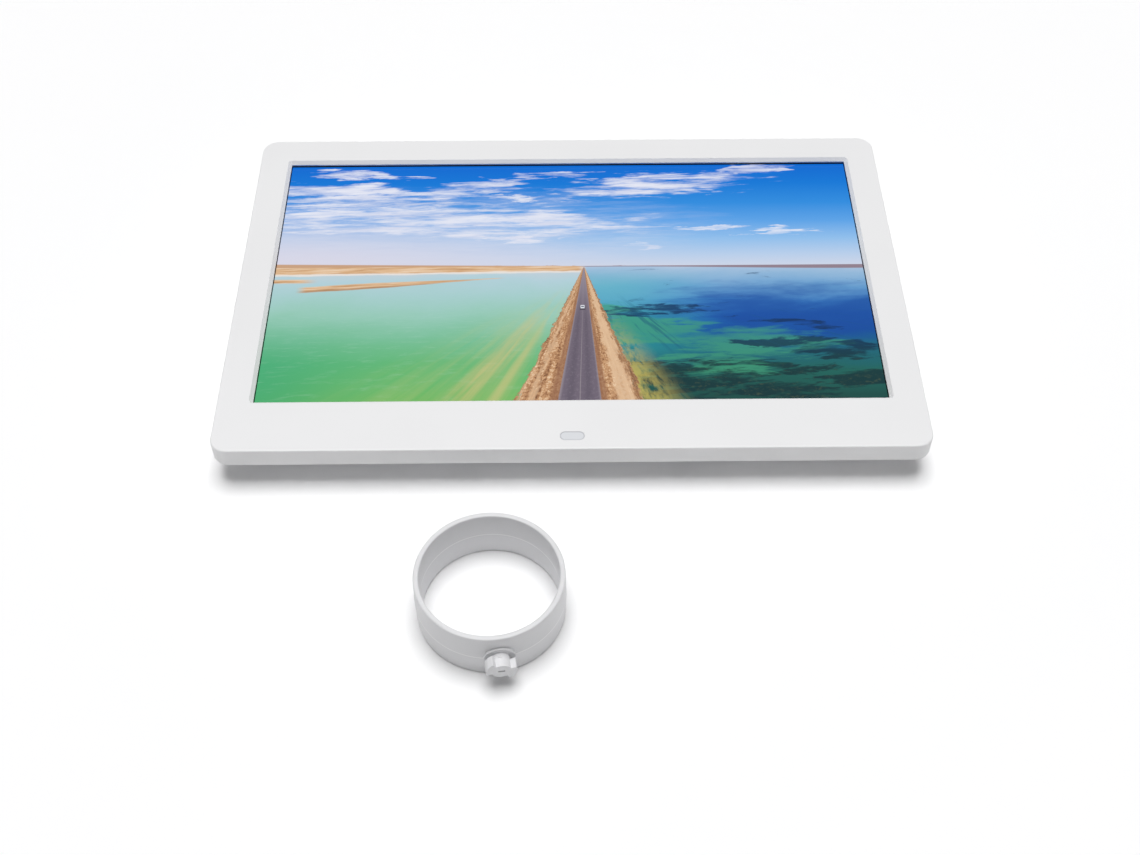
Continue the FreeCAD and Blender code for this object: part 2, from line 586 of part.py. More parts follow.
def front_bezel():
    """One moulded tray: flat face with a bevelled window, side walls and screw bosses."""
    owner = body("front_bezel")
    half_x, half_y = size("frame_width / 2"), size("frame_height / 2")
    front, rear = size("frame_depth"), size(PARTING)
    outline = sketch(owner, "bezel_outline", PARTING)
    rounded(outline, "frame_width", "frame_height", "corner_radius")
    grow(owner, "bezel_block", outline, "side_height")
    inside = sketch(owner, "bezel_inside", PARTING)
    rounded(inside, "frame_width - 2 * side_wall", "frame_height - 2 * side_wall",
            "corner_radius - side_wall")
    grow(owner, "bezel_hollow", inside, "side_height - face_wall", "PartDesign::Pocket", reverse=True)
    window = sketch(owner, "bezel_window", "frame_depth")
    rounded(window, "screen_width + 2 * window_gap", "screen_height + 2 * window_gap", "window_corner",
            y="screen_y")
    opened = grow(owner, "bezel_opening", window, "face_wall + 0.5", "PartDesign::Pocket")
    bevelled = dress(owner, "bezel_bevel", "PartDesign::Chamfer", opened, "Size", "window_bevel",
                     lambda box: level(box, front) and not reaches(box, half_x, half_y))
    edged = dress(owner, "bezel_front_edge", "PartDesign::Fillet", bevelled, "Radius", "face_round",
                  lambda box: level(box, front) and reaches(box, half_x, half_y))
    dress(owner, "bezel_rear_edge", "PartDesign::Fillet", edged, "Radius", "side_round",
          lambda box: level(box, rear) and reaches(box, half_x, half_y))
    for name, places, radius, end in (("cover", COVER_SCREWS, "boss_radius", "boss_end_z"),
                                      ("clamp", CLAMP_SCREWS, "clamp_boss_radius", "panel_back_z"),
                                      ("sensor", SENSOR_SCREWS, "sensor_boss_radius",
                                       "sensor_board_z + sensor_board_thick")):
        bosses = sketch(owner, f"bezel_{name}_bosses", end)
        for x, y in places:
            circle(bosses, x, y, radius)
        grow(owner, f"bezel_{name}_pillars", bosses, f"{FACE_BACK} - ({end})")
        holes = sketch(owner, f"bezel_{name}_holes", end)
        for x, y in places:
            circle(holes, x, y, "pilot_radius")
        depth = "pilot_depth" if name == "cover" else f"{FACE_BACK} - ({end}) - 0.2"
        grow(owner, f"bezel_{name}_pilots", holes, depth, "PartDesign::Pocket", reverse=True)
    pill = sketch(owner, "bezel_sensor_hole", "frame_depth")
    rounded(pill, "sensor_width + 2 * sensor_gap", "sensor_height + 2 * sensor_gap", "sensor_round",
            y="sensor_y")
    grow(owner, "bezel_sensor_window", pill, "face_wall + 0.5", "PartDesign::Pocket")
    return node(owner, "front_bezel")


def sensor_window():
    owner = body("sensor_window")
    flange = sketch(owner, "window_flange", f"{FACE_BACK} - sensor_flange_thick")
    rounded(flange, "sensor_width + 2 * sensor_flange", "sensor_height + 2 * sensor_flange",
            "sensor_round + sensor_flange",
            y="sensor_y")
    grow(owner, "window_flange_pad", flange, "sensor_flange_thick")
    face = sketch(owner, "window_face", FACE_BACK)
    rounded(face, "sensor_width", "sensor_height", "sensor_round", y="sensor_y")
    grow(owner, "window_face_pad", face, "face_wall - sensor_gap")
    return node(owner, "sensor_window")


def cover_shape(name, low, high):
    """A lofted block with a sloping border; low and high are (width, height, radius, z)."""
    owner = body(name)
    profiles = []
    for tag, (width, height, radius, z) in (("low", low), ("high", high)):
        profile = sketch(owner, f"{name}_{tag}", z)
        rounded(profile, width, height, radius)
        profiles.append(profile)
    loft = owner.newObject("PartDesign::AdditiveLoft", name + "_slope")
    loft.Profile = profiles[0]
    loft.Sections = [profiles[1]]
    loft.Ruled = True
    doc.recompute()
    return owner


def rear_cover():
    """Flat back with a sloping border, posts and sockets inside, and a bay for the ports at its right."""
    rim_radius = "corner_radius - side_wall - shell_gap"
    outer = cover_shape("cover_outer",
                        (f"{COVER_WIDTH} - 2 * cover_slope", f"{COVER_HEIGHT} - 2 * cover_slope",
                         "plateau_radius", "0"),
                        (COVER_WIDTH, COVER_HEIGHT, rim_radius, PARTING))
    lip = sketch(outer, "cover_lip_outline", PARTING)
    rounded(lip, COVER_WIDTH, COVER_HEIGHT, rim_radius)
    grow(outer, "cover_lip_pad", lip, "cover_lip")
    cavity = cover_shape("cover_cavity",
                         (f"{COVER_WIDTH} - 2 * (cover_slope + slope_set)",
                          f"{COVER_HEIGHT} - 2 * (cover_slope + slope_set)",
                          "plateau_radius - slope_set", "cover_wall"),
                         (f"{COVER_WIDTH} - 2 * rim_wall", f"{COVER_HEIGHT} - 2 * rim_wall", "rim_wall",
                          RIM_TOP))
    bay_height = "bay_top_y - bay_low_y"
    bay_mid = "(bay_top_y + bay_low_y) / 2"
    reach = "frame_width / 2 - bay_x"
    bay = block("bay", (reach, bay_height, "bay_ceiling_z + 1"), (f"bay_x + ({reach}) / 2", bay_mid, "-1"))
    bay_walls = block("bay_walls", (f"{reach} + cover_wall", f"{bay_height} + 2 * cover_wall",
                                    "bay_ceiling_z + cover_wall + 1"),
                      (f"bay_x + ({reach} - cover_wall) / 2", bay_mid, "-1"))
    hollow = cut("cover_hollow", cavity, bay_walls)
    shell = cut("cover_shell", cut("cover_notched", outer, bay), hollow)
    rise = "2 * cover_lip"
    spread = f"2 * cover_slope * ({rise}) / {PARTING}"
    envelope = cover_shape("cover_envelope",
                           (f"{COVER_WIDTH} - 2 * cover_slope", f"{COVER_HEIGHT} - 2 * cover_slope",
                            "plateau_radius", "0"),
                           (f"{COVER_WIDTH} + {spread}", f"{COVER_HEIGHT} + {spread}", rim_radius,
                            f"{PARTING} + {rise}"))
    added, removed = [], port_holes()
    for more_added, more_removed in (cover_screw_seats(envelope), board_posts(), key_row(), hangers(),
                                     socket_seat()):
        added += more_added
        removed += more_removed
    whole = fuse("cover_with_posts", shell, *added)
    return node(cut("rear_cover", whole, *removed, *grilles()), "rear_cover")


def cover_screw_seats(envelope):
    """Pillars for the eight cover screws, each cut off by the slope so that it doesn't stand out."""
    added, removed = [], []
    for k, (x, y) in enumerate(COVER_SCREWS):
        trim = doc.addObject("Part::Common", f"cover_pillar_trim_{k}")
        trim.Base = rod(f"cover_pillar_{k}", "pillar_radius", "boss_end_z - pillar_foot_z",
                        (x, y, "pillar_foot_z"))
        trim.Tool = envelope
        added.append(trim)
        removed.append(rod(f"cover_recess_{k}", "head_recess_radius", "head_seat_z", (x, y, "0")))
        removed.append(rod(f"cover_hole_{k}", "clearance_radius", "frame_depth", (x, y, "0")))
    return added, removed


def board_posts():
    """Posts for the main board, with pilot holes for its screws."""
    added, removed = [], []
    for k, (x, y) in enumerate(BOARD_SCREWS):
        added.append(rod(f"board_post_{k}", "post_radius", "board_z - post_foot_z", (x, y, "post_foot_z")))
        removed.append(rod(f"board_pilot_{k}", "pilot_radius", "post_pilot_depth",
                           (x, y, "board_z - post_pilot_depth")))
    return added, removed


def key_row():
    """A sunk strip with a thicker wall under it, a hole for each key cap, and posts for the key board."""
    key_top = "switch_z + switch_height"
    pad = ("key_pocket_length + 2 * key_pad_margin", "key_pocket_height + 2 * key_pad_margin",
           "key_pocket_depth + 0.1")
    added, removed = [block("key_pad", pad, ("key_centre_x", "key_y", "cover_wall - 0.1"))], []
    for k, (x, y) in enumerate(KEY_SCREWS):
        added.append(rod(f"key_post_{k}", "post_radius", f"{key_top} - post_foot_z", (x, y, "post_foot_z")))
        removed.append(rod(f"key_pilot_{k}", "pilot_radius", "post_pilot_depth",
                           (x, y, f"{key_top} - post_pilot_depth")))
    strip = body("key_strip")
    outline = sketch(strip, "key_strip_outline")
    rounded(outline, "key_pocket_length", "key_pocket_height", "key_pocket_round", "key_centre_x", "key_y")
    grow(strip, "key_strip_pad", outline, "key_pocket_depth")
    removed.append(strip)
    for k, (x, y) in enumerate(KEY_PLACES):
        removed.append(rod(f"key_hole_{k}", "key_radius + key_gap", "cover_wall + 2", (x, y, "0")))
    return added, removed


def hangers():
    """Two keyholes for wall screws, each with a closed pocket behind it."""
    added, removed = [], []
    middle_y, end_y = "hanger_y + hanger_slot_length / 2", "hanger_y + hanger_slot_length"
    room = ("hanger_pocket_width", "hanger_pocket_height", "hanger_pocket_depth")
    wall = "hanger_pocket_wall"
    box = (f"{room[0]} + 2 * {wall}", f"{room[1]} + 2 * {wall}", f"{room[2]} + {wall}")
    slot = ("hanger_slot_width", "hanger_slot_length", "cover_wall")
    for side, sign in SIDES:
        x = f"{sign}hanger_x"
        added.append(block(f"hanger_box_{side}", box, (x, middle_y, "cover_wall")))
        removed.append(block(f"hanger_room_{side}", room, (x, middle_y, "cover_wall")))
        removed.append(rod(f"hanger_head_{side}", "hanger_head_radius", "cover_wall", (x, "hanger_y", "0")))
        removed.append(block(f"hanger_slot_{side}", slot, (x, middle_y, "0")))
        end = rod(f"hanger_slot_end_{side}", "hanger_slot_width / 2", "cover_wall", (x, end_y, "0"))
        removed.append(end)
    return added, removed


def socket_seat():
    """The round hole for the stand's socket, and the two posts that it is screwed to."""
    added, removed = [], [rod("socket_hole", "socket_hole_radius", "cover_wall", ("0", "socket_y", "0"))]
    length = "socket_ear_z - post_foot_z"
    for k, (x, y) in enumerate(SOCKET_SCREWS):
        added.append(rod(f"socket_post_{k}", "post_radius", length, (x, y, "post_foot_z")))
        removed.append(rod(f"socket_pilot_{k}", "pilot_radius", length, (x, y, "post_foot_z")))
    return added, removed


def grilles():
    """Slots in front of both speakers, and two rows of ventilation slots under the main board."""
    slots = []
    grille = ("grille_slot_width", "grille_slot_length", "cover_wall")
    vent = ("vent_width", "vent_length", "cover_wall")
    for side, sign in SIDES:
        for n in range(6):
            x = f"{sign}speaker_x + ({n} - 2.5) * grille_pitch"
            slots.append(block(f"grille_{side}_{n}", grille, (x, "speaker_y", "0")))
    for row, sign in (("low", "-"), ("high", "")):
        for n in range(13):
            x = f"vent_x + {n} * vent_pitch"
            slots.append(block(f"vent_{row}_{n}", vent, (x, f"{sign}vent_y", "0")))
    return slots


def port_holes():
    """Holes in the bay wall for the five sockets."""
    start, through = "bay_x - cover_wall - 0.5", "cover_wall + 1"
    middle = f"{start} + ({through}) / 2"
    holes = []
    for name in ("card", "usb", "mini"):
        hole = (through, f"{name}_width + 2 * port_gap", f"{name}_height + 2 * port_gap")
        low = f"board_z - {name}_height - port_gap"
        holes.append(block(f"{name}_hole", hole, (middle, f"{name}_y", low)))
    holes += [rod(f"{name}_hole", radius, through, (start, f"{name}_y", f"{name}_z"), "X")
              for name, radius in (("phone", "phone_access_radius"),
                                   ("power", "power_nose_radius + port_gap"))]
    return holes


# ---------------------------------------------------------------- display panel
def panel():
    opening = ("screen_width + 2 * tin_lip", "screen_height + 2 * tin_lip", "screen_y")
    inner = "2 * tin_thick"
    gasket_outer = ("screen_width + 2 * (tin_lip + gasket_width)",
                    "screen_height + 2 * (tin_lip + gasket_width)", "screen_y")
    node(ring_block("screen_gasket", gasket_outer, opening, PANEL_FRONT, f"{FACE_BACK} - {PANEL_FRONT}"),
         "screen_gasket")
    tin = block("tin_blank", ("panel_width", "panel_height", "panel_thick"),
                ("0", "panel_y", "panel_back_z"))
    room = block("tin_room", (f"panel_width - {inner}", f"panel_height - {inner}",
                              "panel_thick - tin_thick"),
                 ("0", "panel_y", "panel_back_z"))
    hole = block("tin_hole", (opening[0], opening[1], "panel_thick"), ("0", "screen_y", "panel_back_z"))
    node(cut("panel_front_frame", tin, room, hole), "panel_front_frame")
    inside = (f"panel_width - {inner} - 2 * tray_gap", f"panel_height - {inner} - 2 * tray_gap")
    node(block("panel_back_plate", (*inside, "plate_thick"), ("0", "panel_y", "panel_back_z")),
         "panel_back_plate")
    floor_z = "panel_back_z + plate_thick"
    low = ring_block("tray_low", (*inside, "panel_y"), ("film_width + 4 * tray_gap",
                                                        "film_height + 8 * tray_gap", "film_y"),
                     floor_z, f"ledge_z - ({floor_z})")
    glass = ("panel_width - 2 * glass_inset", "panel_height - 2 * glass_inset")
    high = ring_block("tray_high", (*inside, "panel_y"), (f"{glass[0]} + 2 * tray_gap",
                                                          f"{glass[1]} + 2 * tray_gap", "panel_y"),
                      "ledge_z", f"{PANEL_FRONT} - tin_thick - ledge_z")
    node(fuse("panel_tray", low, high), "panel_tray")
    node(block("screen_glass", (*glass, "glass_thick"),
               ("0", "panel_y", f"{PANEL_FRONT} - tin_thick - glass_thick")),
         "screen_glass")
    node(block("reflector_sheet", ("film_width", "guide_height", "reflector_thick"),
               ("0", "guide_y", floor_z)),
         "reflector_sheet")
    guide_z = f"{floor_z} + reflector_thick + 0.05"
    node(block("light_guide", ("film_width", "guide_height", "guide_thick"), ("0", "guide_y", guide_z)),
         "light_guide")
    node(block("diffuser_films", ("film_width", "film_height", "film_thick"),
               ("0", "film_y", "ledge_z - film_thick - 0.05")),
         "diffuser_films")
    node(block("backlight_strip", ("strip_length", "strip_width", "strip_thick"),
               ("0", "strip_y", floor_z)), "backlight_strip")
    count = int(size("strip_length") // size("led_pitch"))
    leds = [block(f"led_{k}", ("led_length", "led_width", "led_height"),
                  (f"({k} - {(count - 1) / 2}) * led_pitch", "strip_y + 0.5",
                   f"{floor_z} + strip_thick")) for k in range(count)]
    node(group("backlight_leds", leds), "backlight_leds")


def driver_board():
    z = "panel_back_z - driver_gap - driver_thick"
    node(block("driver_board", ("driver_length", "driver_width", "driver_thick"), ("0", "driver_y", z)),
         "driver_board")
    chip = block("driver_chip", ("driver_chip", "driver_chip", "driver_chip_thick"),
                 ("driver_chip_x", "driver_y", f"{z} - driver_chip_thick"))
    connector = block("driver_socket", ("driver_socket_length", "driver_socket_width", "driver_chip_thick"),
                      ("driver_socket_x", "driver_y", f"{z} - driver_chip_thick"))
    node(group("driver_parts", [chip, connector]), "driver_parts")


def panel_clamps():
    made = []
    for k, (x, y) in enumerate(CLAMP_SCREWS):
        # Each clamp reaches from its screw over the panel's edge.
        towards = "-" if size(y) > 0 else ""
        middle = f"{y} - ({towards}1) * clamp_overhang + ({towards}1) * clamp_length / 2"
        plate = block(f"clamp_{k}", ("clamp_width", "clamp_length", "clamp_thick"),
                      (x, middle, "panel_back_z - clamp_thick"))
        hole = rod(f"clamp_hole_{k}", "clearance_radius", "clamp_thick",
                   (x, y, "panel_back_z - clamp_thick"))
        made.append(cut(f"clamp_plate_{k}", plate, hole))
    node(group("panel_clamps", made), "panel_clamps")


# ---------------------------------------------------------------- main board
def main_board():
    plate = block("board_blank", ("board_length", "board_width", "board_thick"),
                  ("board_x", "board_y", "board_z"))
    holes = [rod(f"board_hole_{k}", "clearance_radius", "board_thick", (x, y, "board_z")) for k,
             (x, y) in enumerate(BOARD_SCREWS)]
    node(cut("main_board", plate, *holes), "main_board")
    chips = [block("processor", ("chip_size", "chip_size", "chip_thick"),
                   ("chip_x", "chip_y", "board_z - chip_thick"))]
    chips += [block(f"memory_{k}", ("memory_length", "memory_width", "memory_thick"),
                    ("chip_x", y, "board_z - memory_thick"))
              for k, y in enumerate(("chip_y + chip_size", "chip_y - chip_size"))]
    node(group("board_chips", chips), "board_chips")
    coils = [block(f"coil_{k}", ("coil_size", "coil_size", "coil_height"),
                   ("board_right_screw_x + 11", f"{y}",
                    "board_z - coil_height")) for k, y in enumerate(("power_y - 4", "mini_y + 4"))]
    node(group("power_inductors", coils), "power_inductors")
    cans = [rod(f"can_{k}", "can_radius", "can_height", ("board_right_screw_x - 4", f"chip_y + {y}",
                                                         "board_z - can_height"))
            for k, y in enumerate((-20, -8, 4, 16))]
    node(group("capacitors", cans), "capacitors")
    node(block("battery_holder", ("holder_length", "holder_width", "holder_thick"),
               ("cell_x", "cell_y", "board_z - holder_thick")), "battery_holder")
    node(rod("clock_battery", "cell_radius", "cell_thick",
             ("cell_x", "cell_y", "board_z - holder_thick - cell_thick")),
         "clock_battery")
    headers = [block(f"{name}_header", (length, "header_width", "header_height"),
                     (x, "header_y", "board_z - header_height"))
               for name, x, length in (("display", "display_header_x", "display_header_length"),
                                       ("speaker", "speaker_header_x", "header_length"),
                                       ("sensor", "sensor_header_x", "header_length"),
                                       ("light", "light_header_x", "header_length"))]
    headers.append(block("key_header", ("header_width", "key_header_length", "key_header_height"),
                         ("key_header_x", "key_header_y", "board_z - key_header_height")))
    headers.append(block("light_plug", ("plug_length_x", "plug_width_y", "plug_height_z"),
                         ("light_plug_x", "light_plug_y",
                          "panel_back_z - driver_gap - driver_thick - plug_height_z")))
    headers.append(block("sensor_plug", ("plug_length_x", "plug_width_y", "plug_height_z"),
                         ("0", "sensor_plug_y", "sensor_board_z - plug_height_z")))
    node(group("board_headers", headers), "board_headers")


def socket_blank(name, extra=""):
    """The outer block of a socket, its mouth at the port face."""
    return block(f"{name}_blank{extra}", (f"{name}_length", f"{name}_width", f"{name}_height"),
                 (f"port_face_x - {name}_length / 2", f"{name}_y", f"board_z - {name}_height"))


def ports():
    slot = block("card_slot", ("card_slot_depth", "card_slot_width", "card_slot_height"),
                 ("port_face_x - card_slot_depth / 2", "card_y",
                  "board_z - (card_height + card_slot_height) / 2"))
    node(cut("card_socket", socket_blank("card"), slot), "card_socket")
    shells = {}
    for name in ("usb", "mini"):
        room = block(f"{name}_room", (f"{name}_depth", f"{name}_width - 2 * {name}_skin",
                                      f"{name}_height - 2 * {name}_skin"),
                     (f"port_face_x - {name}_depth / 2", f"{name}_y",
                      f"board_z - {name}_height + {name}_skin"))
        shells[name] = cut(f"{name}_shell", socket_blank(name), room)
    tongue = block("usb_tongue", ("tongue_length", "tongue_width", "tongue_thick"),
                   ("port_face_x - usb_depth + tongue_length / 2", "usb_y",
                    "board_z - usb_skin - tongue_offset - tongue_thick"))
    node(group("usb_socket", [shells["usb"], tongue]), "usb_socket")
    node(shells["mini"], "mini_usb_socket")
    jacks = {}
    for name in ("phone", "power"):
        face, y, z, depth = (f"{name}_{part}" for part in ("face_x", "y", "z", "bore_depth"))
        case = block(f"{name}_case", (f"{name}_length", f"{name}_width", f"{name}_height"),
                     (f"{face} - nose_length - {name}_length / 2", y, f"board_z - {name}_height"))
        nose = rod(f"{name}_nose", f"{name}_nose_radius", "nose_length",
                   (f"{face} - nose_length", y, z), "X")
        bore = rod(f"{name}_bore", f"{name}_bore_radius", depth, (f"{face} - {depth}", y, z), "X")
        jacks[name] = cut(f"{name}_jack", fuse(f"{name}_jack_blank", case, nose), bore)
    pin = rod("power_pin", "power_pin_radius", "power_pin_length",
              ("power_face_x - power_bore_depth", "power_y", "power_z"), "X")
    node(jacks["phone"], "earphone_jack")
    node(group("power_inlet", [jacks["power"], pin]), "power_inlet")


# ---------------------------------------------------------------- keys
def keys():
    board_z = "switch_z + switch_height"
    plate = block("key_board_blank", ("key_board_length", "key_board_width", "key_board_thick"),
                  ("key_centre_x", "key_y", board_z))
    holes = [rod(f"key_board_hole_{k}", "clearance_radius", "key_board_thick", (x, y, board_z))
             for k, (x, y) in enumerate(KEY_SCREWS)]
    node(cut("key_board", plate, *holes), "key_board")
    switches = []
    for k, (x, y) in enumerate(KEY_PLACES):
        case = block(f"switch_case_{k}", ("switch_size", "switch_size", "switch_height"),
                     (x, y, "switch_z"))
        well = rod(f"switch_well_{k}", "switch_well_radius", "switch_well_depth", (x, y, "switch_z"))
        switches.append(cut(f"switch_{k}", case, well))
    node(group("key_switches", switches), "key_switches")
    for name, (x, y) in zip(KEY_NAMES, KEY_PLACES):
        cap = rod(f"{name}_cap", "key_radius", "key_flange_z - key_face_z", (x, y, "key_face_z"))
        flange = rod(f"{name}_flange", "key_flange_radius", "key_flange_thick", (x, y, "key_flange_z"))
        stem = rod(f"{name}_stem", "key_stem_radius", "plunger_z - key_flange_z", (x, y, "key_flange_z"))
        node(fuse(f"key_{name}", cap, flange, stem), f"key_{name}")
        node(rod(f"plunger_{name}", "plunger_radius", "plunger_length", (x, y, "plunger_z")),
             f"plunger_{name}")


# ---------------------------------------------------------------- speakers, sensor, socket
def speakers():
    base = "cover_wall"
    baskets, cones, magnets, pads = [], [], [], []
    for side, sign in SIDES:
        x, y = f"{sign}speaker_x", "speaker_y"
        pad = rod(f"pad_{side}", "speaker_radius", "gasket_thick", (x, y, base))
        pads.append(cut(f"speaker_pad_{side}", pad, rod(f"pad_hole_{side}", "gasket_inner_radius",
                                                        "gasket_thick", (x, y, base))))
        z = f"{base} + gasket_thick"
        cup = rod(f"cup_{side}", "speaker_radius", "speaker_height", (x, y, z))
        room = rod(f"cup_room_{side}", "speaker_radius - speaker_wall", "speaker_height - speaker_wall",
                   (x, y, z))
        baskets.append(cut(f"basket_{side}", cup, room))
        cones.append(rod(f"cone_{side}", "cone_radius", "cone_thick", (x, y, f"{z} + cone_gap")))
        magnets.append(rod(f"magnet_{side}", "magnet_radius", "magnet_height",
                           (x, y, f"{z} + speaker_height")))
    for name, parts in (("speaker_gaskets", pads), ("speaker_baskets", baskets), ("speaker_cones", cones),
                        ("speaker_magnets", magnets)):
        node(group(name, parts), name)


def remote_sensor():
    plate = block("sensor_plate", ("sensor_board_length", "sensor_board_width", "sensor_board_thick"),
                  ("0", "sensor_y", "sensor_board_z"))
    holes = [rod(f"sensor_hole_{k}", "clearance_radius", "sensor_board_thick", (x, y, "sensor_board_z"))
             for k, (x, y) in enumerate(SENSOR_SCREWS)]
    node(cut("sensor_board", plate, *holes), "sensor_board")
    z = "sensor_board_z + sensor_board_thick"
    case = block("sensor_case", ("sensor_body_length", "sensor_body_width", "sensor_body_height"),
                 ("0", "sensor_y", z))
    lens = doc.addObject("Part::Sphere", "sensor_lens")
    bind(lens, "Radius", "sensor_dome_radius")
    place(lens, ("0", "sensor_y", f"{z} + sensor_body_height - 0.3"))
    node(fuse("infrared_receiver", case, lens), "infrared_receiver")


def stand_socket():
    """Bayonet socket: a face plate with a round hole and two lug slots, in front of a closed cup."""
    x, y = "0", "socket_y"
    plate = rod("socket_plate", "socket_plate_radius", "cover_wall", (x, y, "0"))
    cup = rod("socket_cup", "socket_cup_radius", "socket_depth + socket_end - cover_wall - 0.05",
              (x, y, "cover_wall + 0.05"))
    bridge = rod("socket_bridge", "socket_plate_radius", "0.4", (x, y, "cover_wall - 0.2"))
    ears = []
    for k, (ex, ey) in enumerate(SOCKET_SCREWS):
        ears.append(rod(f"socket_ear_{k}", "socket_ear_radius", "socket_ear_thick",
                        (ex, ey, "socket_ear_z")))
        ears.append(block(f"socket_arm_{k}", ("socket_ear_x - socket_cup_radius + 1",
                                              "2 * socket_ear_radius", "socket_ear_thick"),
                          (f"({ex}) * (socket_ear_x + socket_cup_radius - 1) / (2 * socket_ear_x)", ey,
                           "socket_ear_z")))
    blank = fuse("socket_blank", plate, cup, bridge, *ears)
    room = rod("socket_room", "socket_cup_inner", "socket_depth - socket_plate_thick",
               (x, y, "socket_plate_thick"))
    core = rod("socket_core", "socket_core_radius", "socket_depth", (x, y, "0"))
    slots = []
    for k, turn in enumerate((0, 180)):
        slot = rod(f"socket_slot_{k}", "socket_slot_radius", "socket_depth", (x, y, "0"),
                   angle="socket_slot_angle")
        slot.Placement.Rotation = FreeCAD.Rotation(FreeCAD.Vector(0, 0, 1),
                                                   turn - size("socket_slot_angle") / 2)
        slots.append(slot)
    holes = [rod(f"socket_ear_hole_{k}", "clearance_radius", "socket_ear_thick", (ex, ey, "socket_ear_z"))
             for k, (ex, ey) in enumerate(SOCKET_SCREWS)]
    node(cut("stand_socket", blank, room, core, *slots, *holes), "stand_socket")


# ---------------------------------------------------------------- ring stand
def ring_stand():
    """A short tube, very slightly fatter at its parting line, with a bayonet plug on its side."""
    owner = body("ring_body")
    profile = sketch(owner, "ring_section", role="XZ_Plane")
    narrow, wide = "ring_radius - ring_draft", "ring_radius"
    outline = [(narrow, "0"), (wide, "ring_height / 2"), (narrow, "ring_height"),
               (f"{narrow} - ring_wall", "ring_height"), (f"{wide} - ring_wall", "ring_height / 2"),
               (f"{narrow} - ring_wall", "0")]
    points = [FreeCAD.Vector(size(x), size(z), 0) for x, z in outline]
    for start, end in zip(points, points[1:] + points[:1]):
        profile.addGeometry(Part.LineSegment(start, end), False)
    for k in range(len(outline)):
        profile.addConstraint(Sketcher.Constraint("Coincident", k, 2, (k + 1) % len(outline), 1))
    for k, (x, z) in enumerate(outline):
        hold(profile, k, 1, x, z)
    turned = owner.newObject("PartDesign::Revolution", "ring_tube")
    turned.Profile = profile
    turned.ReferenceAxis = (next(f for f in owner.Origin.OriginFeatures if f.Role == "Z_Axis"), [""])
    turned.Angle = 360.0
    doc.recompute()
    dress(owner, "ring_rims", "PartDesign::Fillet", turned, "Radius", "ring_rim_round",
          lambda box: level(box, 0) or level(box, size("ring_height")))
    spin = FreeCAD.Rotation(FreeCAD.Vector(0, 0, 1), size("plug_turn"))
    middle = "ring_height / 2"
    spigot_hole = rod("ring_spigot_hole", "plug_spigot_radius", "ring_radius + 2", ("0", "0", middle), "-Y")
    ring = cut("stand_ring_local", owner, spigot_hole)
    flange_face = "ring_radius + plug_flange_thick"
    flange = rod("plug_flange", "plug_flange_radius", "plug_flange_thick + 2",
                 ("0", "-(ring_radius - 2)", middle), "-Y")
    saddle = rod("plug_saddle", "ring_radius", "ring_height", ("0", "0", "0"))
    seated = cut("plug_seated_flange", flange, saddle)
    spigot = rod("plug_spigot", "plug_spigot_radius", f"{flange_face} - (ring_radius - ring_wall)",
                 ("0", "-(ring_radius - ring_wall)", middle), "-Y")
    neck = rod("plug_neck", "plug_radius", "plug_length + 0.5", ("0", f"-({flange_face} - 0.5)", middle),
               "-Y")
    lugs = []
    for k, roll in enumerate((0, 180)):
        lug = rod(f"plug_lug_{k}", "plug_lug_radius", "plug_length - plug_lug_start",
                  ("0", f"-({flange_face} + plug_lug_start)", middle), "-Y", angle="plug_lug_angle")
        about = size("plug_lug_roll") + roll - size("plug_lug_angle") / 2
        roll_about = FreeCAD.Rotation(FreeCAD.Vector(0, 0, 1), about)
        lug.Placement.Rotation = lug.Placement.Rotation.multiply(roll_about)
        lugs.append(lug)
    detent = doc.addObject("Part::Sphere", "plug_detent")
    bind(detent, "Radius", "plug_detent_radius")
    place(detent, ("0", f"-({flange_face} + plug_lug_start)", f"{middle} + plug_radius - 0.3"))
    slot = block("plug_slot", ("plug_slot_length", "plug_slot_depth", "plug_slot_width"),
                 ("0", f"-({flange_face} + plug_length - plug_slot_depth / 2)",
                  f"{middle} - plug_slot_width / 2"))
    plug = cut("stand_plug_local", fuse("plug_blank", seated, spigot, neck, detent, *lugs), slot)
    for local, label in ((ring, "stand_ring"), (plug, "stand_plug")):
        moved = group(label + "_placed", [local])
        moved.Placement = FreeCAD.Placement(FreeCAD.Vector(), spin)
        place(moved, ("ring_x", "ring_y", "0"))
        node(moved, label)


